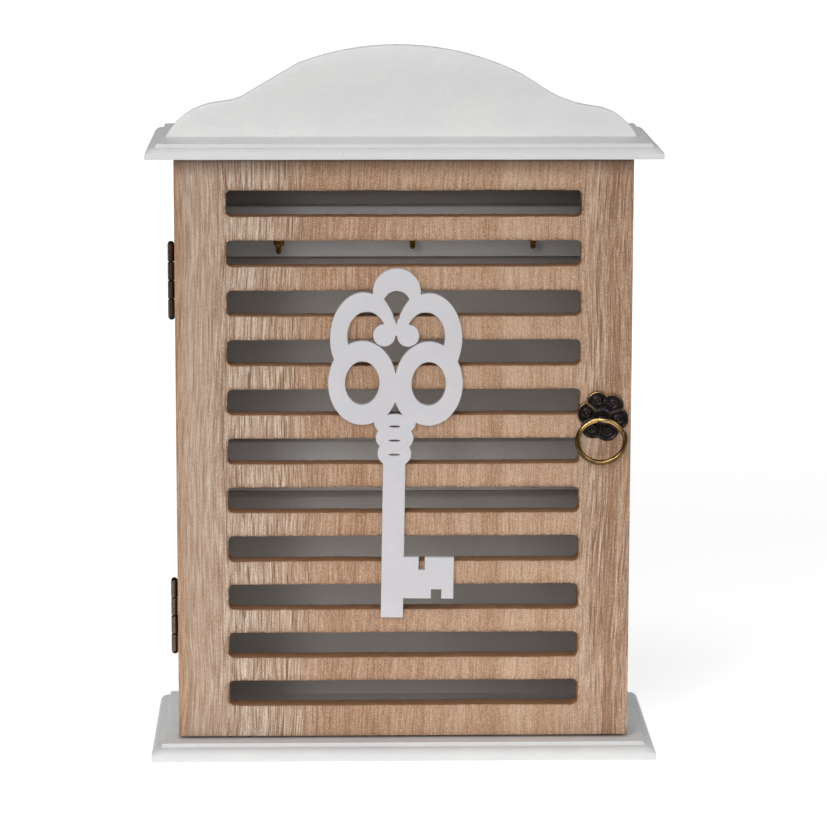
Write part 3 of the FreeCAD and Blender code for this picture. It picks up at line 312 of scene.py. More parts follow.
def veneer(name):
    """Pale open-grained veneer: straight grain up the door, in bands, with short dark pores."""
    look = Look(name)
    low, high = node_box("door_panel")
    wander = look.speckle(0.012, 0.012, 0.011, 2)
    lean = look.times(look.axis(look.place, 2), -0.02)
    drift = look.times(look.centred(wander), 0.009)
    shift = look.add("ShaderNodeCombineXYZ", {0: look.sum("ADD", drift, lean)}).outputs[0]
    moved = look.add("ShaderNodeVectorMath", {0: look.place, 1: shift}, operation="ADD").outputs[0]

    def grain(across, up, detail, roughness=0.5, start=0.0):
        scale = (across / MM, across / MM, up / MM)
        inputs = {"Vector": moved, "Scale": scale, "Location": (start, start, start)}
        return look.noise(look.add("ShaderNodeMapping", inputs).outputs[0], detail, roughness)

    across_door = look.sum("MULTIPLY_ADD", look.centred(wander), 0.004, look.axis(look.place, 0))
    share = look.sum("MULTIPLY_ADD", across_door, 1 / ((high.x - low.x) * MM), 0.5)
    contrast = look.ramp(share, CONTRASTS)
    fine = grain(1.5, 0.05, 3, 0.65)
    depth = wood_depth(look, grain, fine, share, contrast)
    pores = wood_pores(look, grain, contrast)
    frayed = look.speckle(1.3, 1.3, 0.9, 2, 0.7)
    # Scorch along the cuts, which also stands for painted shade on the slots' upper edges.
    scorch_and_shade = look.times(look.attribute("cut_edge"), look.curve(frayed, 0.44, 0.56, 0.12, 1.0))
    colour = look.mix(wood_greyness(look, share), look.ramp(depth, TAN_WOOD), look.ramp(depth, GREY_WOOD))
    for mark, mark_colour in (
        (wood_veins(look, grain, share), linear(146, 108, 78)),
        (pores, linear(122, 92, 68)),
        # painted shade under the top board's overhang
        (painted_top_shade(look, high.z), linear(86, 62, 46)),
        (scorch_and_shade, linear(120, 88, 62)),
    ):
        colour = look.mix(mark, colour, mark_colour)
    relief = look.sum("SUBTRACT", look.times(fine, 0.5), pores)
    return look.finish(colour, look.curve(depth, 0.0, 1.0, 0.5, 0.62), relief, 0.06, 0.7)


def fibreboard(name, pale, deep):
    """Sawn fibreboard or ply, as in the walls of the door's slots: fibrous and burnt darker in places."""
    look = Look(name, Roughness=0.8)
    fibres = look.speckle(0.5, 3.2, 1.2, 3, 0.65)
    blotches = look.speckle(0.12, 0.5, 0.2, 2, 0.6)
    depth = look.sum("MULTIPLY_ADD", fibres, 0.6, look.times(blotches, 0.5), clamp=True)
    colour = look.ramp(depth, [(0.25, pale), (0.75, deep)])
    return look.finish(colour, 0.82, fibres, 0.12, 0.8)


def hardboard(name, pale, deep):
    """The back panel: hardboard with a screened rear face, painted on the side that faces in."""
    look = Look(name)
    fibres = look.speckle(1.2, 1.2, 0.5, 4, 0.7, 0.4)
    mesh = look.add("ShaderNodeTexVoronoi", {"Vector": look.stretched(0.7, 0.01, 0.7)})
    rear = look.ramp(fibres, [(0.3, deep), (0.7, pale)])
    clouds = look.speckle(0.03, 0.03, 0.03, 3, 0.6)
    front = look.mix(clouds, linear(206, 201, 196), linear(214, 210, 206))
    # painted shade towards the ends of the panel
    front = painted_end_shade(look, front, 25, 78, 0.4)
    facing = look.axis(look.add("ShaderNodeNewGeometry").outputs["Normal"], 1)
    behind = look.curve(facing, 0.2, 0.6)
    colour = look.mix(behind, front, rear)
    relief = look.times(mesh.outputs["Distance"], behind)
    return look.finish(colour, 0.5, relief, 0.12, 0.7)


def metal(name, clean, tarnish, roughness, amount, wear_and_highlight=None):
    """Cast, rolled or plated metal: tarnish in clouds, fine scratches, and a brighter colour where the
    mesh marks wear and painted highlights.
    """
    look = Look(name, Metallic=1.0)
    if wear_and_highlight:
        look.shader.inputs["Specular Tint"].default_value = (0.45, 0.42, 0.40, 1.0)
    clouds = look.speckle(0.35, 0.35, 0.35, 4, 0.65)
    grit = look.speckle(4.0, 4.0, 4.0, 2, 0.6)
    cover = look.curve(look.sum("MULTIPLY_ADD", grit, 0.25, clouds), 0.45, 0.8, 0.0, 1.0)
    colour = look.mix(look.times(cover, amount), clean, tarnish)
    gloss = look.curve(clouds, 0.3, 0.7, roughness - 0.06, roughness + 0.1)
    if wear_and_highlight:
        # The mesh attribute carries wear on the hinges and the rosette's bosses, and painted highlights
        # on the rest of the pull.
        wear_and_highlight_share = look.attribute("wear_and_highlight")
        patchy = look.curve(look.speckle(0.9, 0.9, 0.9, 3, 0.6), 0.3, 0.6, 0.55, 1.0)
        bright = look.times(wear_and_highlight_share, patchy, clamp=True)
        colour = look.mix(bright, colour, wear_and_highlight)
        gloss = look.mix(bright, gloss, (roughness * 0.75,) * 3)
    return look.finish(colour, gloss, grit, 0.03, 0.6)


def beech(name):
    """Plain turned dowel wood with short flecks."""
    look = Look(name)
    streaks = look.speckle(1.5, 1.5, 0.08, 3, 0.6)
    flecks = look.speckle(3.0, 3.0, 0.6, 1)
    colour = look.ramp(streaks, [(0.3, linear(214, 184, 146)), (0.7, linear(190, 152, 112))])
    colour = look.mix(look.curve(flecks, 0.66, 0.72, 0.0, 0.5), colour, linear(140, 100, 68))
    return look.finish(colour, 0.6, streaks, 0.05, 0.5)


RAIL_FEET = [node_box(row + "_hook_rail")[0].z for row in ("upper", "lower")]

PAINT = white_paint("white_paint", linear(234, 234, 232), linear(229, 229, 230))
# The boards' white is a little darker than the crest's, as painted shade on the mouldings.
SHADED_BOARD_PAINT = white_paint("shaded_board_paint", linear(224, 224, 223), linear(219, 219, 220))
# The side panels' inner faces get painted shade all over.
SIDE_PAINT = white_paint(
    "side_paint", linear(236, 236, 234), linear(231, 231, 232), end_shade=(0, 1, 0.35),
)
# The rails' white is a little lighter than the rest, as painted light; the rails also get painted shade
# towards the ends and along each rail's foot.
RAIL_PAINT = white_paint(
    "rail_paint", linear(240, 240, 238), linear(235, 235, 236), end_shade=(25, 78, 0.4), shade_lines=RAIL_FEET,
)
ORNAMENT_PAINT = white_paint(
    "ornament_paint", linear(208, 206, 209), linear(205, 203, 207), linear(196, 186, 172), 0.5, 0.25,
)
VENEER = veneer("veneer")
CORE = fibreboard("veneer_core", linear(188, 144, 106), linear(132, 96, 66))
BACK_BOARD = hardboard("back_board", linear(150, 112, 78), linear(104, 74, 50))
# On the pull, the last colour of the bronze and of the ring brass paints both wear and painted
# highlights.
BRONZE = metal(
    "antique_bronze", linear(52, 47, 48), linear(26, 23, 24), 0.26, 0.8, linear(228, 190, 128),
)
HINGE_BRONZE = metal(
    "hinge_bronze", linear(52, 44, 42), linear(26, 21, 20), 0.22, 0.7, linear(120, 104, 94),
)
RING_BRASS = metal(
    "ring_brass", linear(112, 90, 56), linear(58, 46, 29), 0.17, 0.65, linear(226, 184, 122),
)
HOOK_BRASS = metal("hook_brass", linear(178, 142, 78), linear(84, 64, 32), 0.26, 0.6)
ZINC = metal("zinc_steel", linear(196, 197, 198), linear(128, 126, 122), 0.36, 0.5)
NICKEL = metal("magnet", linear(150, 150, 150), linear(70, 70, 70), 0.3, 0.6)
BEECH = beech("beech")


# Meshes


class Shell:
    """Points and faces of one piece, in millimetres, with a number painted on each point."""

    def __init__(self):
        self.points = []
        self.faces = []
        self.paint = []

    def point(self, place, paint=0.0):
        """Add a point and return its number."""
        self.points.append(Vector(place))
        self.paint.append(paint)
        return len(self.points) - 1

    def row(self, places, paint=None):
        """Add a row of points, painted by a rule if there is one, and return their numbers."""
        return [self.point(place, paint(place) if paint else 0.0) for place in places]

    def strip(self, first, second, closed=True):
        """Quads between two rows of points."""
        count = len(first)
        for index in range(count if closed else count - 1):
            after = (index + 1) % count
            self.faces.append((first[index], first[after], second[after], second[index]))

    def rows(self, rows, closed=True):
        """Quads between each row of points and the next."""
        for first, second in zip(rows, rows[1:]):
            self.strip(first, second, closed)

    def capped(self, rows):
        """Quads between rows, and a flat face at each end."""
        self.rows(rows)
        self.faces.append(tuple(reversed(rows[0])))
        self.faces.append(tuple(rows[-1]))

    def mesh(self, name, paint_name=None, merge=0.0005):
        """A Blender mesh in metres, its doubled points merged and its faces turned outwards."""
        mesh = bpy.data.meshes.new(name)
        mesh.from_pydata([point * MM for point in self.points], [], self.faces)
        if paint_name:
            layer = mesh.attributes.new(paint_name, "FLOAT", "POINT")
            layer.data.foreach_set("value", self.paint)
        edit(mesh, lambda work: tidy(work, merge))
        return mesh


def edit(mesh, change):
    """Run a change on a mesh through bmesh."""
    work = bmesh.new()
    work.from_mesh(mesh)
    change(work)
    work.to_mesh(mesh)
    work.free()
    mesh.update()


def tidy(work, merge):
    """Merge doubled points and turn all faces outwards."""
    bmesh.ops.remove_doubles(work, verts=work.verts, dist=merge * MM)
    bmesh.ops.dissolve_degenerate(work, edges=work.edges, dist=merge * MM)
    bmesh.ops.recalc_face_normals(work, faces=work.faces)


TO_THE_RIGHT = Matrix(((0, 0, 1), (1, 0, 0), (0, 1, 0)))
TO_THE_BACK = Matrix(((1, 0, 0), (0, 0, 1), (0, -1, 0)))


def full_turn(count):
    """Angles spaced evenly round a full turn."""
    return [2 * math.pi * index / count for index in range(count)]


def lathe(shell, profile, centre, direction, segments, closed=False, paint=None):
    """Turn (radius, level) points about a line through a centre, levels growing in a direction."""
    rows = []
    for radius, level in profile:
        places = []
        for angle in full_turn(segments):
            own = Vector((radius * math.cos(angle), radius * math.sin(angle), level))
            places.append(direction @ own + centre)
        rows.append(shell.row(places, paint))
    shell.rows(rows + rows[:1] if closed else rows)


def tube(shell, path, radii, segments, paint=None):
    """A round wire along a path, with a radius at each point and flat closed ends."""
    normal = None
    rows = []
    for index, (here, radius) in enumerate(zip(path, radii)):
        before = path[max(index - 1, 0)]
        after = path[min(index + 1, len(path) - 1)]
        forward = (after - before).normalized()
        if normal is None:
            normal = forward.orthogonal()
        normal = (normal - forward * normal.dot(forward)).normalized()
        side = forward.cross(normal)
        places = [
            here + (normal * math.cos(angle) + side * math.sin(angle)) * radius
            for angle in full_turn(segments)
        ]
        rows.append(shell.row(places, paint))
    shell.capped(rows)


def show(name, mesh, materials, body, slot, *replaced, sharp=32):
    """Turn a mesh into a shaded piece that rides on a body and stands for its CAD nodes."""
    for material in materials:
        mesh.materials.append(material)
    mesh.polygons.foreach_set("use_smooth", [True] * len(mesh.polygons))
    mesh.set_sharp_from_angle(angle=math.radians(sharp))
    piece = bpy.data.objects.new(name, mesh)
    bpy.context.scene.collection.objects.link(piece)
    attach(piece, body)
    if replaced:
        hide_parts(*replaced)
    return piece


def coat(node, material):
    """Give a CAD node that keeps its own shape its material."""
    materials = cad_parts[node].data.materials
    materials.clear()
    materials.append(material)


def cad_mesh(node, name):
    """A copy of a CAD node's mesh, its triangles merged back into whole flat faces."""
    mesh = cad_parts[node].data.copy()
    mesh.name = name
    mesh.materials.clear()

    def merge(work):
        bmesh.ops.remove_doubles(work, verts=work.verts, dist=0.002 * MM)
        limit = math.radians(0.6)
        bmesh.ops.dissolve_limit(work, angle_limit=limit, verts=work.verts, edges=work.edges)

    edit(mesh, merge)
    return mesh


def bevel(work, edges, radius):
    """Round over edges in two steps."""
    bmesh.ops.bevel(
        work, geom=edges, offset=radius * MM, offset_type="OFFSET", segments=2,
        profile=0.5, affect="EDGES", clamp_overlap=True,
    )


def ease(mesh, radius, least=1.5, turn=28):
    """Round over the sharp edges of a mesh that are longer than least millimetres."""
    def round_over(work):
        chosen = [
            edge for edge in work.edges
            if len(edge.link_faces) == 2
            and edge.calc_face_angle(0) > math.radians(turn)
            and edge.calc_length() > least * MM
        ]
        bevel(work, chosen, radius)

    edit(mesh, round_over)


def slice_up(mesh, steps):
    """Cut a mesh's faces into bands across each axis, every so many millimetres."""
    def cut(work):
        for axis, step in enumerate(steps):
            if not step:
                continue
            places = [vertex.co[axis] for vertex in work.verts]
            direction = Vector((axis == 0, axis == 1, axis == 2))
            count = int((max(places) - min(places)) / (step * MM))
            for index in range(1, count + 1):
                point = direction * (min(places) + index * step * MM)
                geometry = work.verts[:] + work.edges[:] + work.faces[:]
                bmesh.ops.bisect_plane(work, geom=geometry, plane_co=point, plane_no=direction)

    edit(mesh, cut)


def wave(mesh, depth, length, seed):
    """Let a surface wander inwards by up to depth, in waves of about a given length."""
    mesh.update()
    normals = [Vector(item.vector) for item in mesh.vertex_normals]
    for vertex, normal in zip(mesh.vertices, normals):
        spot = vertex.co / (length * MM) + Vector((seed, seed, seed))
        share = 0.5 + 0.5 * noise.noise(spot)
        vertex.co -= normal * (depth * MM * max(share, 0.0))
    mesh.update()


def boards():
    """Base, top and side boards: their CAD shape with eased edges and faces that aren't quite true."""
    flat = (0.3, (5, 8, 0), 0.09, SHADED_BOARD_PAINT)
    upright = (0.6, (0, 8, 8), 0.06, SIDE_PAINT)
    for node, seed, (radius, steps, depth, paint) in (
        ("base_board", 1.0, flat), ("top_board", 7.0, flat),
        ("side_panel_left", 13.0, upright), ("side_panel_right", 19.0, upright),
    ):
        mesh = cad_mesh(node, node + "_mesh")
        ease(mesh, radius)
        slice_up(mesh, steps)
        wave(mesh, depth, 14.0, seed)
        show(node + "_board", mesh, [paint], CABINET, "white_paint", node, sharp=40)


def face_outlines(node):
    """The outlines of a node's flat front, as loops of (x, z) points with the solid on their left."""
    work = bmesh.new()
    work.from_mesh(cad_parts[node].data)
    bmesh.ops.remove_doubles(work, verts=work.verts, dist=0.002 * MM)
    work.normal_update()
    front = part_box(node)[0].y

    def on_front(face):
        return face.normal.y < -0.999 and abs(face.calc_center_median().y - front) < 0.01 * MM

    rim = [edge for edge in work.edges if sum(on_front(face) for face in edge.link_faces) == 1]
    beside = {}
    for edge in rim:
        for vertex in edge.verts:
            beside.setdefault(vertex, []).append(edge)
    loops = []
    left = set(rim)
    while left:
        edge = left.pop()
        start, here = edge.verts
        loop = [start, here]
        while here != start:
            edge = next(other for other in beside[here] if other in left)
            left.discard(edge)
            here = edge.other_vert(here)
            loop.append(here)
        loops.append([Vector((vertex.co.x / MM, vertex.co.z / MM)) for vertex in loop[:-1]])
    work.free()
    loops.sort(key=lambda loop: -abs(loop_area(loop)))
    for index, loop in enumerate(loops):
        wanted = 1 if index == 0 else -1
        if loop_area(loop) * wanted < 0:
            loop.reverse()
    return loops


def loop_area(loop):
    """Twice the area inside a loop, above 0 if it runs anticlockwise."""
    return sum(loop[index - 1].cross(point) for index, point in enumerate(loop))


def inset(loop, distance, mitre=1.25):
    """A loop moved to its left, its corners never by more than mitre times the distance."""
    moved = []
    for index, point in enumerate(loop):
        before = (point - loop[index - 1]).normalized()
        after = (loop[(index + 1) % len(loop)] - point).normalized()
        left = Vector((-before.y - after.y, before.x + after.x))
        lean = max(left.length / 2, 1 / mitre)
        moved.append(point + left.normalized() * (distance / lean))
    return moved


def spread(loop, step):
    """A loop with points added so that none of its sides is longer than a step."""
    spread_out = []
    for index, point in enumerate(loop):
        start = loop[index - 1]
        count = max(1, math.ceil((point - start).length / step))
        for share in range(1, count + 1):
            spread_out.append(start.lerp(point, share / count))
    return spread_out


def within(spot, loops):
    """Whether a point is inside an odd number of loops."""
    odd = False
    for loop in loops:
        for index, end in enumerate(loop):
            start = loop[index - 1]
            if (start.y > spot.y) != (end.y > spot.y):
                crossing = start.x + (end.x - start.x) * (spot.y - start.y) / (end.y - start.y)
                odd ^= spot.x < crossing
    return odd


def fill(shell, loops, rims, depth, grid):
    """A flat face inside loops, joined to rims of points already made, with a grid across it."""
    places = [point for loop in loops for point in loop]
    edges = []
    for loop in loops:
        first = len(edges)
        edges += [(first + index, first + (index + 1) % len(loop)) for index in range(len(loop))]
    rim = [number for numbers in rims for number in numbers]
    low = Vector((min(point.x for point in places), min(point.y for point in places)))
    high = Vector((max(point.x for point in places), max(point.y for point in places)))
    for column in range(1, int((high.x - low.x) / grid)):
        for row in range(1, int((high.y - low.y) / grid)):
            spot = Vector((low.x + column * grid, low.y + row * grid))
            clear = min((spot - point).length for point in places[:len(rim)])
            if clear > grid * 0.4 and within(spot, loops):
                places.append(spot)
    found = geometry.delaunay_2d_cdt(places, edges, [], 0, 1e-5)
    points, faces, sources = found[0], found[2], found[3]
    numbers = []
    for point, source in zip(points, sources):
        own = [index for index in source if index < len(rim)]
        numbers.append(rim[own[0]] if own else shell.point((point.x, depth, point.y)))
    for face in faces:
        middle = sum((points[index] for index in face), Vector((0, 0))) / len(face)
        if within(middle, loops):
            shell.faces.append(tuple(numbers[index] for index in face))


def cut_out(node, name, ease, step, grid):
    """A flat sawn piece on the outlines of its CAD node's front, with its edges rounded over."""
    low, high = node_box(node)
    turns = 3
    rounding = []
    for turn in range(turns + 1):
        angle = math.pi / 2 * turn / turns
        rounding.append((ease * (1 - math.sin(angle)), ease * (1 - math.cos(angle))))
    layers = [(inward, low.y + down) for inward, down in rounding]
    layers += [(inward, high.y - down) for inward, down in reversed(rounding)]
    shell = Shell()
    loops = []
    front_rims = []
    back_rims = []
    for outline in face_outlines(node):
        loop = spread(outline, step)
        rows = []
        for inward, depth in layers:
            rows.append(shell.row([(point.x, depth, point.y) for point in inset(loop, inward)]))
        shell.rows(rows)
        loops.append(inset(loop, ease))
        front_rims.append(rows[0])
        back_rims.append(rows[-1])
    fill(shell, loops, front_rims, low.y, grid)
    fill(shell, loops, back_rims, high.y, grid)
    return shell.mesh(name)


def crest():
    """The sawn crest, its edge rounded over by hand."""
    foot = node_box("crest_board")[0].z
    ease = 0.45
    mesh = cut_out("crest_board", "crest_mesh", ease, 2.0, 4.0)
    wave(mesh, 0.07, 12.0, 31.0)
    for vertex in mesh.vertices:
        if vertex.co.z < (foot + ease * 1.3) * MM:
            vertex.co.z = foot * MM
    show("crest_sawn", mesh, [PAINT], CABINET, "white_paint", "crest_board", sharp=40)


def ornament():
    """The painted key on the door."""
    mesh = cut_out("key_ornament", "ornament_mesh", 0.32, 0.6, 3.0)
    show("key_ornament_cut", mesh, [ORNAMENT_PAINT], DOOR, "ornament_paint", "key_ornament", sharp=40)


# The door

SLOT_COUNT = 11
SLOT_PITCH = 20.0
SLOT_HALF_LENGTH = 70.7
SLOT_HALF_HEIGHT = 5.25
SLOT_CORNER = 2.2
FIRST_SLOT_DROP = 17.55
STRAIGHT_STEPS = 140
CORNER_STEPS = 7
END_STEPS = 4
MARGIN_STEPS = 4


def slot_and_cell(middle, half_width, half_cell):
    """A slot's outline and the matching outline of the cell of door round it, as (x, z) points."""
    run = SLOT_HALF_LENGTH - SLOT_CORNER
    rise = SLOT_HALF_HEIGHT - SLOT_CORNER
    slot = []
    cell = []

    def straight(side):
        for step in range(STRAIGHT_STEPS + 1):
            across = run * (2 * step / STRAIGHT_STEPS - 1) * side
            slot.append(Vector((across, middle + side * SLOT_HALF_HEIGHT)))
            cell.append(Vector((across, middle + side * half_cell)))

    def end(side):
        for step in range(END_STEPS + 1):
            up = middle + rise * (1 - 2 * step / END_STEPS) * side
            slot.append(Vector((side * SLOT_HALF_LENGTH, up)))
            cell.append(Vector((side * half_width, up)))

    def corner(side_x, side_z, steps):
        for step in steps:
            angle = math.pi / 2 * step / (CORNER_STEPS + 1)
            across = run + SLOT_CORNER * math.sin(angle)
            up = rise + SLOT_CORNER * math.cos(angle)
            slot.append(Vector((side_x * across, middle + side_z * up)))
            share = 2 * step / (CORNER_STEPS + 1)
            outer_across = run + (half_width - run) * min(share, 1)
            outer_up = half_cell + (rise - half_cell) * max(share - 1, 0)
            cell.append(Vector((side_x * outer_across, middle + side_z * outer_up)))

    outwards = range(1, CORNER_STEPS + 1)
    for side in (1, -1):
        straight(side)
        corner(side, side, outwards)
        end(side)
        corner(side, -side, reversed(outwards))
    return slot, cell


def ragged(point, seed):
    """How far the cut strays at a point of a slot's edge, in millimetres."""
    slow = noise.noise(Vector((point.x * 0.05, point.y * 0.3, seed)))
    quick = noise.noise(Vector((point.x * 0.55, point.y * 0.5, seed + 9)))
    chips = noise.noise(Vector((point.x * 1.1, point.y * 0.5, seed + 21)))
    return 0.16 * slow + 0.08 * quick + 0.18 * chips


def door_faces(front, back, half_width, bottom, top):
    """The door's two faces and the walls of its slots, with how near each point is to a cut, cut back
    along the slots' lower edges so that their upper edges stay darker as painted shade.
    """
    shell = Shell()
    eased = 0.3
    half_cell = SLOT_PITCH / 2
    # Each ring of points round a slot: how far out from the cut (None at the cell's own outline),
    # how deep, and how near a cut it counts as.
    layers = [
        (None, front, 0.0), (3.0, front, 0.0), (1.1, front, 0.25), (eased, front, 0.9),
        (eased * 0.3, front + eased * 0.3, 1.0), (0.0, front + eased, 1.0),
        (0.0, front + 1.6, 1.0), (0.0, back - 1.6, 1.0),
        (0.0, back - eased, 1.0), (eased * 0.3, back - eased * 0.3, 1.0), (eased, back, 0.8),
        (1.1, back, 0.12), (3.0, back, 0.0), (None, back, 0.0),
    ]
    for number in range(SLOT_COUNT):
        middle = top - FIRST_SLOT_DROP - number * SLOT_PITCH
        slot, cell = slot_and_cell(middle, half_width, half_cell)
        count = len(slot)
        outward = []
        for index in range(count):
            along = slot[(index + 1) % count] - slot[index - 1]
            outward.append(Vector((-along.y, along.x)).normalized())
        if outward[STRAIGHT_STEPS // 2].y < 0:
            outward = [-normal for normal in outward]
        rows = []
        for reach, depth, nearness in layers:
            row = []
            for index in range(count):
                if reach is None:
                    spot = cell[index]
                else:
                    stray = ragged(slot[index], number * 3.7)
                    fade = 1.0 if reach < 2 else 0.3
                    spot = slot[index] + outward[index] * (reach + stray * fade)
                # Painted shade: the mark along the cut stays full on the slots' upper edges and is cut
                # back on their lower edges.
                scorch_and_shade_weight = 0.25 if outward[index].y < -0.5 else 1.0
                row.append(shell.point((spot.x, depth, spot.y), nearness * scorch_and_shade_weight))
            rows.append(row)
        shell.rows(rows)
    cell = slot_and_cell(0.0, half_width, half_cell)[1]
    columns = sorted({round(point.x, 5) for point in cell if point.y > half_cell - 0.01})
    first_cell_top = top - FIRST_SLOT_DROP + half_cell
    last_cell_bottom = top - FIRST_SLOT_DROP - (SLOT_COUNT - 1) * SLOT_PITCH - half_cell
    for depth in (front, back):
        for low, high in ((first_cell_top, top), (bottom, last_cell_bottom)):
            rows = []
            for step in range(MARGIN_STEPS + 1):
                level = low + (high - low) * step / MARGIN_STEPS
                rows.append(shell.row([(column, depth, level) for column in columns]))
            shell.rows(rows, closed=False)
    return shell


def door():
    """The veneered board: two faces, the walls of its slots, its outer edges, all eased."""
    low, high = node_box("door_panel")
    front, back = low.y, high.y
    shell = door_faces(front, back, high.x, low.z, high.z)
    mesh = shell.mesh("door_mesh", "cut_edge")

    def close_edges(work):
        rim = [edge for edge in work.edges if edge.is_boundary]
        front_rim = [edge for edge in rim if edge.verts[0].co.y < (front + back) / 2 * MM]
        made = bmesh.ops.extrude_edge_only(work, edges=front_rim)["geom"]
        for item in made:
            if isinstance(item, bmesh.types.BMVert):
                item.co.y = back * MM
        tidy(work, 0.002)
        chosen = []
        for edge in work.edges:
            spot = (edge.verts[0].co + edge.verts[1].co) / 2 / MM
            near_side = high.x - abs(spot.x) < 0.01
            near_end = min(spot.z - low.z, high.z - spot.z) < 0.01
            if (near_side or near_end) and edge.calc_face_angle(0) > 1.0:
                chosen.append(edge)
        bevel(work, chosen, 0.35)

    edit(mesh, close_edges)
    piece = show("door_veneered", mesh, [VENEER, CORE], DOOR, "veneer", "door_panel", sharp=50)
    inner_side = SLOT_HALF_LENGTH + 1.0
    for face in piece.data.polygons:
        middle = face.center / MM
        in_slot = abs(middle.x) < inner_side and low.z + 1 < middle.z < high.z - 1
        on_side = abs(middle.x) > high.x - 0.2
        if abs(face.normal.y) < 0.75 and (in_slot or on_side):
            face.material_index = 1


# The ring pull

PETALS = 6
PETAL_TURN = math.radians(49)
PETAL_RADIUS = 4.9
PETAL_CIRCLE = 5.6
BOSS_CIRCLE = 6.6


def petal_reach(angle):
    """How far the rosette reaches in a direction."""
    step = 2 * math.pi / PETALS
    off = (angle - PETAL_TURN + step / 2) % step - step / 2
    sideways = PETAL_CIRCLE * math.sin(off)
    return PETAL_CIRCLE * math.cos(off) + math.sqrt(PETAL_RADIUS ** 2 - sideways ** 2)


def hump(distance, width):
    """1 at a distance of 0, falling smoothly to nothing over about twice a width."""
    return math.exp(-((distance / width) ** 2))


def rosette_height(across, up, rim):
    """The rosette's height above the door at a point, rim millimetres in from its edge."""
    radius = math.hypot(across, up)
    angle = math.atan2(up, across)
    step = 2 * math.pi / PETALS
    nearest = round((angle - PETAL_TURN) / step) * step + PETAL_TURN
    boss_place = Vector((math.cos(nearest), math.sin(nearest))) * BOSS_CIRCLE
    from_boss = (Vector((across, up)) - boss_place).length
    around = math.atan2(up - boss_place.y, across - boss_place.x)
    gap = 1 - 0.45 * hump(math.remainder(around - nearest - 2.4, 2 * math.pi), 0.5)
    notch = nearest + (step / 2 if math.remainder(angle - nearest, 2 * math.pi) > 0 else -step / 2)
    from_notch = abs(math.sin(angle - notch)) * radius
    plate = 0.78
    rolled_rim = 0.30 * hump(rim - 0.55, 0.42)
    boss_ring = 0.46 * gap * hump(from_boss - 1.5, 0.36)
    boss = 0.52 * hump(from_boss, 0.55)
    along = min(max((radius - 2.4) / 1.2, 0.0), 1.0)
    ridge = 0.42 * along * hump(from_notch, 0.42)
    hub = 0.50 / (1 + math.exp((radius - 2.9) / 0.22))
    height = plate + rolled_rim + boss_ring + boss + ridge + hub
    if rim < 0.35:
        height *= math.sqrt(1 - (1 - rim / 0.35) ** 2) * 0.55 + 0.45
    return min(height, 1.72)


def rosette():
    """The cast backplate: six dished petals with a ringed boss each, ridges between, and a hub."""
    centre = face_middle("pull_rosette", back=True)
    shell = Shell()
    angles = full_turn(288)
    rings = 44
    rows = []
    for ring in range(rings + 1):
        share = (ring / rings) ** 0.85
        row = []
        for angle in angles:
            reach = petal_reach(angle)
            inward = (1 - share) * reach * 0.94
            radius = reach * share
            across = radius * math.cos(angle)
            up = radius * math.sin(angle)
            height = rosette_height(across, up, inward)
            # Painted highlight: the rim is brightened more on its upper and left side, where light falls,
            # and along the ridge at 139 degrees; the raised bosses get wear.
            painted_light_side = max(0.0, min(1.0, 0.35 + 0.8 * (up * 0.9 - across * 0.25) / max(radius, 1.0)))
            from_ridge = math.remainder(angle - math.radians(139), 2 * math.pi) * radius
            ridge_highlight = 0.25 * hump(from_ridge, 0.35)
            bosses = 0.20 * max(0.0, (height - 1.05) / 0.5)
            wear_and_highlight = painted_light_side * hump(inward - 0.24, 0.18) + (bosses + ridge_highlight) * (radius > 3.2)
            place = (centre.x + across, centre.y - height, centre.z + up)
            row.append(shell.point(place, min(wear_and_highlight, 1.0)))
        rows.append(row)
    foot = []
    for angle in angles:
        reach = petal_reach(angle)
        foot.append(centre + Vector((math.cos(angle), 0, math.sin(angle))) * reach)
    rows.append(shell.row(foot))
    shell.rows(rows)
    shell.faces.append(tuple(rows[-1]))
    mesh = shell.mesh("rosette_mesh", "wear_and_highlight")
    show("rosette_cast", mesh, [BRONZE], DOOR, "antique_bronze", "pull_rosette", sharp=60)


def pull_eye():
    """The eye that holds the ring: a crowned band, a neck, and a stud riveted behind the door."""
    low, high = node_box("pull_eye")
    half_width = (high.x - low.x) / 2 * 0.97
    outer = 2.3
    inner = 1.5
    centre = face_middle("pull_eye") + Vector((0, outer, 0))
    shell = Shell()
    corner = 0.42
    profile = []
    for step in range(7):
        share = step / 3 - 1
        profile.append((outer - 0.12 * share ** 2, share * (half_width - corner)))
    for step in range(1, 6):
        angle = math.pi / 2 * step / 5
        level = half_width - corner + corner * math.sin(angle)
        profile.append((outer - 0.12 - corner + corner * math.cos(angle), level))
    profile += [(inner + 0.18, half_width), (inner, half_width - 0.2), (inner, 0.0)]
    profile += [(radius, -level) for radius, level in reversed(profile[7:-1])]

    # Painted highlight: a bright band across the front of the eye, a little above its middle and lower
    # towards the right, where light from above catches it.
    def wear_and_highlight_share(place):
        angle = math.atan2(place.z - centre.z, centre.y - place.y)
        middle = 0.06 - 0.08 * (place.x - centre.x)
        return max(0.0, min(1.0, (0.30 - abs(angle - middle)) / 0.08))

    lathe(shell, profile, centre, TO_THE_RIGHT, 56, closed=True, paint=wear_and_highlight_share)
    foot = node_box("pull_rosette")[1].y - 1.28
    neck = [
        (0.0, 0.0), (2.35, 0.0), (2.45, -0.12), (2.4, -0.4), (1.95, -0.62), (1.45, -0.95),
        (1.3, -1.6), (0.0, -1.6),
    ]
    lathe(shell, neck, Vector((centre.x, foot, centre.z)), TO_THE_BACK, 40)
    back = node_box("pull_washer")[1].y
    stud = [
        (0.0, -9.6), (1.08, -9.6), (1.08, 0.0), (1.75, 0.0), (1.72, 0.25), (1.3, 0.6), (0.0, 0.7),
    ]
    lathe(shell, stud, Vector((centre.x, back, centre.z)), TO_THE_BACK, 32)
    mesh = shell.mesh("eye_mesh", "wear_and_highlight")
    show("pull_eye_cast", mesh, [BRONZE], DOOR, "antique_bronze", "pull_eye")


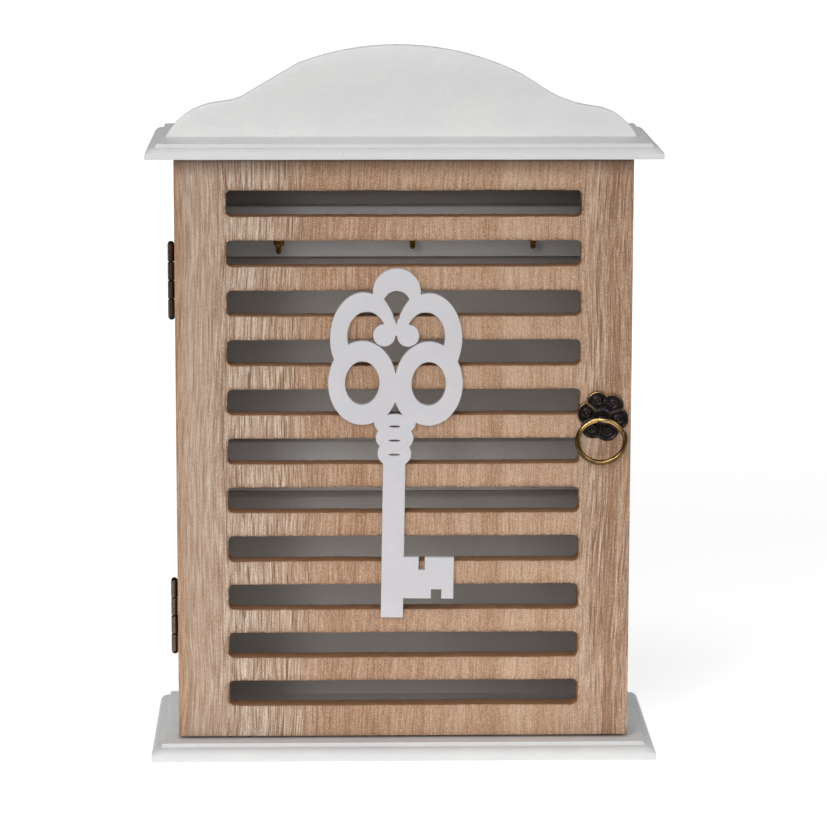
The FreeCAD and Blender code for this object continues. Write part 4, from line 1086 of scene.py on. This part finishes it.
def pull_ring():
    """The ring: an oval of round wire bent by hand, its two ends meeting a little out of line."""
    low, high = node_box("pull_ring")
    centre = (low + high) / 2
    wire = 1.0
    half_width = (high.x - low.x) / 2 - wire
    half_height = (high.z - low.z) / 2 - wire
    joint = math.radians(24)
    steps = 180
    path = []
    for step in range(steps + 1):
        share = step / steps
        angle = joint - 2 * math.pi * share
        stray = 0.32 * math.exp(-share * 9) - 0.05 * math.exp(-(1 - share) * 12)
        uneven = 0.05 * noise.noise(Vector((math.cos(angle) * 1.6, math.sin(angle) * 1.6, 4.0)))
        across = (half_width + stray + uneven) * math.cos(angle)
        up = (half_height + stray + uneven) * math.sin(angle)
        path.append(Vector((centre.x + across, centre.y, centre.z + up)))
    radii = [wire] * len(path)
    for end in (0, -1):
        radii[end] = wire * 0.8
    shell = Shell()

    # Painted highlight: the upper part of the ring brightens where light from above falls on it, and a
    # thin bright line runs along the upper inner side of the lower arc, on its front.
    def wear_and_highlight_share(place):
        above = (place.z - centre.z) / (half_height + wire)
        aside = (place.x - centre.x) / (half_width + wire)
        toward = math.hypot(place.x - centre.x, place.z - centre.z)
        inner = toward - (half_width + half_height) / 2 + 0.6 * abs(above) - 0.3
        below = place.y < centre.y and above < -0.1
        inner_highlight = hump(inner + 0.55, 0.2) * (1 - 0.4 * abs(aside)) if below else 0.0
        return max(0.0, min(1.0, above * 1.4 - 0.45), inner_highlight)

    tube(shell, path, radii, 24, wear_and_highlight_share)
    mesh = shell.mesh("ring_mesh", "wear_and_highlight", merge=0.0002)
    show("ring_bent", mesh, [RING_BRASS], RING, "ring_bronze", "pull_ring", sharp=50)


def washer():
    """The pressed washer behind the door, slightly dished."""
    low, high = node_box("pull_washer")
    thick = high.y - low.y
    profile = [
        (1.12, 0.0), (2.5, 0.0), (2.6, 0.1), (2.6, thick * 0.55), (2.5, thick * 0.8),
        (2.0, thick), (1.2, thick), (1.12, thick * 0.9),
    ]
    shell = Shell()
    lathe(shell, profile, face_middle("pull_washer"), TO_THE_BACK, 40, closed=True)
    mesh = shell.mesh("washer_mesh", "wear_and_highlight")
    show("washer_pressed", mesh, [BRONZE], DOOR, "antique_bronze", "pull_washer")


# Hinges and hooks


LEAF_HEIGHT = 30.0
LEAF_CORNER = 0.8
SHEET_NEAR = 0.1
SHEET_FAR = 0.9
KNUCKLE_GAP = 0.25
KNUCKLE_PITCH = (LEAF_HEIGHT + KNUCKLE_GAP) / 4


def prism(shell, outline, low, high, edge):
    """An outline in plan, as (x, y) points, made solid between two levels with eased ends."""
    outline = [Vector(point) for point in outline]
    rows = []
    for level, inset in ((low, edge), (low + edge, 0.0), (high - edge, 0.0), (high, edge)):
        places = []
        for index, here in enumerate(outline):
            along = outline[(index + 1) % len(outline)] - outline[index - 1]
            moved = here + Vector((-along.y, along.x)).normalized() * inset
            places.append((moved.x, moved.y, level))
        rows.append(shell.row(places))
    shell.capped(rows)


def knuckle_outline(pin, side):
    """A strip that leaves a leaf and curls round the pin, stopping short of itself."""
    outer = 1.4
    inner = 0.8
    strap_end = pin.x + 2.4
    turns = 26
    sweep = math.radians(318)
    start = math.asin(SHEET_FAR / outer)
    outside = []
    inside = []
    for step in range(turns + 1):
        angle = start + sweep * step / turns
        for radius, strip in ((outer, outside), (inner, inside)):
            strip.append((pin.x + radius * math.cos(angle), pin.y + side * radius * math.sin(angle)))
    near = pin.y + side * SHEET_NEAR
    outline = outside + list(reversed(inside))
    outline += [(pin.x + math.sqrt(inner ** 2 - SHEET_NEAR ** 2), near), (strap_end, near)]
    outline.append((strap_end, pin.y + side * SHEET_FAR))
    return outline if side > 0 else list(reversed(outline))


def hinge_leaves():
    """The four leaves: rolled from sheet, each with two knuckles curled round its pin."""
    for word in ("upper", "lower"):
        pin_low, pin_high = node_box("hinge_pin_" + word)
        pin = (pin_low + pin_high) / 2
        for kind, side, body, first in (("frame", 1, CABINET, 0), ("door", -1, DOOR, 1)):
            node = "hinge_%s_leaf_%s" % (kind, word)
            low, high = node_box(node)
            shell = Shell()
            depths = sorted((pin.y + side * SHEET_NEAR, pin.y + side * SHEET_FAR))
            top = (low.z + high.z + LEAF_HEIGHT) / 2
            leaf_plate(shell, pin.x + 1.75, high.x, *depths, top - LEAF_HEIGHT, top)
            for index in (first, first + 2):
                bottom = top + KNUCKLE_GAP - (index + 1) * KNUCKLE_PITCH
                knuckle_top = bottom + KNUCKLE_PITCH - KNUCKLE_GAP
                prism(shell, knuckle_outline(pin, side), bottom, knuckle_top, 0.28)
            mesh = shell.mesh(node + "_mesh", "wear_and_highlight")
            paint_edges(mesh)
            show(node + "_rolled", mesh, [HINGE_BRONZE], body, "antique_bronze", node, sharp=40)


def leaf_plate(shell, left, right, front, back, bottom, top):
    """A thin upright plate with its far corners rounded."""
    outline = [(left, bottom), (right - LEAF_CORNER, bottom)]
    steps = 5
    for step in range(1, steps + 1):
        angle = math.pi / 2 * step / steps
        across = right - LEAF_CORNER + LEAF_CORNER * math.sin(angle)
        outline.append((across, bottom + LEAF_CORNER - LEAF_CORNER * math.cos(angle)))
    for step in range(steps + 1):
        angle = math.pi / 2 * step / steps
        across = right - LEAF_CORNER + LEAF_CORNER * math.cos(angle)
        outline.append((across, top - LEAF_CORNER + LEAF_CORNER * math.sin(angle)))
    outline.append((left, top))
    edge = 0.12
    rows = []
    for depth, inset in ((front, edge), (front + edge, 0.0), (back - edge, 0.0), (back, edge)):
        places = []
        for across, up in outline:
            inward = math.copysign(inset, (left + right) / 2 - across)
            towards_middle = math.copysign(inset, (bottom + top) / 2 - up)
            places.append((across + inward, depth, up + towards_middle))
        rows.append(shell.row(places))
    shell.capped(rows)


def paint_edges(mesh):
    """Mark a mesh's points by how sharply the surface turns there, as wear."""
    work = bmesh.new()
    work.from_mesh(mesh)
    layer = work.verts.layers.float.get("wear_and_highlight")
    for vertex in work.verts:
        turns = [edge.calc_face_angle(0) for edge in vertex.link_edges if len(edge.link_faces) == 2]
        vertex[layer] = min(1.0, max(turns, default=0.0) / 0.9)
    work.to_mesh(mesh)
    work.free()


HOOK_WIRE = 1.1
HOOK_AXIS_DROP = 2.6
TIP_STEPS = 6


def key_hooks():
    """Six brass cup hooks: a round collar, and a wire bent down, forward and up to a round tip."""
    collar = HOOK_AXIS_DROP - 0.35
    for row in ("upper", "lower"):
        for word in ("left", "middle", "right"):
            node = "key_hook_%s_%s" % (row, word)
            low, high = node_box(node)
            rail = node_box(row + "_hook_rail")[0].y
            start = Vector(((low.x + high.x) / 2, rail, high.z - HOOK_AXIS_DROP))
            path = hook_path(start)
            radii = [HOOK_WIRE] * len(path)
            for left in range(TIP_STEPS + 1):
                radii[-1 - left] *= math.sqrt(1 - ((TIP_STEPS - left) / (TIP_STEPS + 0.3)) ** 2)
            shell = Shell()
            tube(shell, path, radii, 20)
            profile = [
                (0.0, 0.0), (collar, 0.0), (collar, -0.9), (collar - 0.08, -1.1), (collar - 0.3, -1.2),
                (0.0, -1.2),
            ]
            lathe(shell, profile, start, TO_THE_BACK, 40)
            mesh = shell.mesh(node + "_mesh")
            show(node + "_bent", mesh, [HOOK_BRASS], CABINET, "hook_brass", node)


def hook_path(start):
    """The middle line of a hook's wire, from inside the rail to its tip."""
    elbow = 1.3
    bend = 2.0
    reach = 4.0
    tip_rise = 1.0
    flat = [(6.2, 0.0), (3.0, 0.0), (0.0, 0.0), (elbow - reach, 0.0)]
    for step in range(1, 9):
        angle = math.pi / 2 * step / 8
        flat.append((elbow - reach - elbow * math.sin(angle), elbow * math.cos(angle) - elbow))
    for step in range(1, 19):
        angle = math.pi * step / 18
        flat.append((-reach - bend + bend * math.cos(angle), -elbow - bend * math.sin(angle)))
    for step in range(1, 9):
        flat.append((-reach - 2 * bend, -elbow + (tip_rise + 0.85) * step / 8))
    return [start + Vector((0, forward, up)) for forward, up in flat]


def magnet():
    """The catch magnet: a plated cup with the magnet set in it."""
    low, high = node_box("catch_magnet")
    radius = (high.x - low.x) / 2
    deep = high.y - low.y
    profile = [
        (0.0, 0.06), (radius - 0.75, 0.06), (radius - 0.7, 0.4), (radius - 0.55, 0.4),
        (radius - 0.5, 0.0), (radius - 0.12, 0.0), (radius, 0.14), (radius, deep - 0.2),
        (radius - 0.2, deep), (0.0, deep),
    ]
    shell = Shell()
    lathe(shell, profile, face_middle("catch_magnet"), TO_THE_BACK, 40)
    mesh = shell.mesh("magnet_mesh")
    show("magnet_cup", mesh, [NICKEL], CABINET, "magnet", "catch_magnet")


def sheet_parts():
    """Keyhole plates: pressed steel with softened edges."""
    for word in ("left", "right"):
        node = "hanger_plate_" + word
        mesh = cad_mesh(node, node + "_mesh")
        ease(mesh, 0.12, least=0.1, turn=50)
        show(node + "_pressed", mesh, [ZINC], CABINET, "zinc_steel", node, sharp=40)


def coats():
    """Finishes for the CAD nodes that keep their own shape."""
    for node in ("upper_hook_rail", "lower_hook_rail"):
        coat(node, RAIL_PAINT)
    coat("back_panel", BACK_BOARD)
    for node in (
        "base_screws", "crest_screws", "rail_screws", "hanger_screws", "back_panel_pins", "strike_disc",
    ):
        coat(node, ZINC)
    coat("top_dowels", BEECH)
    for node in ("hinge_pin_upper", "hinge_pin_lower", "hinge_frame_screws", "hinge_door_screws"):
        coat(node, HINGE_BRONZE)
    coat("pull_nail", BRONZE)


# Stage

LAMP_TARGET = Vector((0, 0, 0.14))


def camera():
    """The camera: a long lens, a little left of the middle and above, looking slightly down."""
    data = bpy.data.cameras.new("camera")
    data.lens = 153.17
    data.sensor_width = 36
    data.clip_start = 0.05
    data.clip_end = 30
    yaw, pitch, roll = 0.02612, 0.1792, -0.001727
    ahead = Vector((math.sin(yaw), math.cos(yaw), 0))
    forward = ahead * math.cos(pitch) - Vector((0, 0, math.sin(pitch)))
    level = Vector((math.cos(yaw), -math.sin(yaw), 0))
    down = forward.cross(level)
    right = level * math.cos(roll) + down * math.sin(roll)
    down = down * math.cos(roll) - level * math.sin(roll)
    view = bpy.data.objects.new("camera", data)
    turned = Matrix((right, -down, -forward)).transposed().to_4x4()
    view.matrix_world = Matrix.Translation((-0.03239, -1.42063, 0.39292)) @ turned
    bpy.context.scene.collection.objects.link(view)
    bpy.context.scene.camera = view


def area_light(name, place, size, power):
    """A soft rectangular lamp aimed at the middle of the cabinet."""
    data = bpy.data.lights.new(name, "AREA")
    data.shape = "RECTANGLE"
    data.size, data.size_y = size
    data.energy = power
    lamp = bpy.data.objects.new(name, data)
    lamp.location = place
    lamp.rotation_mode = "QUATERNION"
    lamp.rotation_quaternion = (LAMP_TARGET - lamp.location).to_track_quat("-Z", "Y")
    bpy.context.scene.collection.objects.link(lamp)


def studio_world():
    """Soft white surroundings: bright above and behind, dimmer in front."""
    world = bpy.data.worlds.new("studio")
    world.use_nodes = True
    tree = world.node_tree
    backdrop = tree.nodes["Background"]
    backdrop.inputs["Color"].default_value = (1, 1, 1, 1)
    direction = tree.nodes.new("ShaderNodeTexCoord")
    parts = tree.nodes.new("ShaderNodeSeparateXYZ")
    tree.links.new(direction.outputs["Generated"], parts.inputs[0])
    total = tree.nodes.new("ShaderNodeMath")
    for index, (axis, *steps) in enumerate((("Y", -0.6, 0.5, 0.10, 0.26), ("Z", 0.1, 0.9, 0.0, 0.16))):
        curve = tree.nodes.new("ShaderNodeMapRange")
        curve.interpolation_type = "SMOOTHSTEP"
        for key, number in enumerate(steps, 1):
            curve.inputs[key].default_value = number
        tree.links.new(parts.outputs[axis], curve.inputs["Value"])
        tree.links.new(curve.outputs[0], total.inputs[index])
    tree.links.new(total.outputs[0], backdrop.inputs["Strength"])
    bpy.context.scene.world = world


def stage():
    """A pale floor in soft white light."""
    shell = Shell()
    reach = 6000.0
    corners = [(-reach, -reach), (reach, -reach), (reach, reach), (-reach, reach)]
    shell.faces.append(tuple(shell.point((across, along, -0.05)) for across, along in corners))
    floor = bpy.data.objects.new("floor", shell.mesh("floor"))
    look = Look("floor_paper", Roughness=0.9)
    specks = look.speckle(0.4, 0.4, 0.4, 2)
    paper = look.mix(specks, (0.93, 0.93, 0.93), (0.95, 0.95, 0.95))
    toward_front = look.curve(look.axis(look.place, 1), -0.20, -0.46)
    look.fill(look.shader.inputs["Base Color"], look.mix(toward_front, paper, (0.36, 0.36, 0.36)))
    look.shader.inputs["Emission Color"].default_value = (1, 1, 1, 1)
    near_glow = look.sum("MULTIPLY_ADD", toward_front, -0.56, 0.56)
    far_glow = look.curve(look.axis(look.place, 1), 0.3, 1.6, 0.0, 0.30)
    look.fill(look.shader.inputs["Emission Strength"], look.sum("ADD", near_glow, far_glow))
    floor.data.materials.append(look.material)
    bpy.context.scene.collection.objects.link(floor)
    studio_world()
    area_light("left", (-0.58, -1.40, 0.78), (0.35, 0.8), 7.6)
    area_light("right", (0.85, -1.20, 0.72), (0.5, 0.7), 2.7)
    area_light("front", (0.0, -1.60, 0.70), (0.8, 0.6), 3.6)
    area_light("top", (-0.20, -0.50, 1.30), (0.5, 0.4), 2.9)
    bpy.context.scene.view_settings.view_transform = "Standard"


camera()
stage()
boards()
crest()
door()
ornament()
rosette()
pull_eye()
pull_ring()
washer()
hinge_leaves()
key_hooks()
magnet()
sheet_parts()
coats()
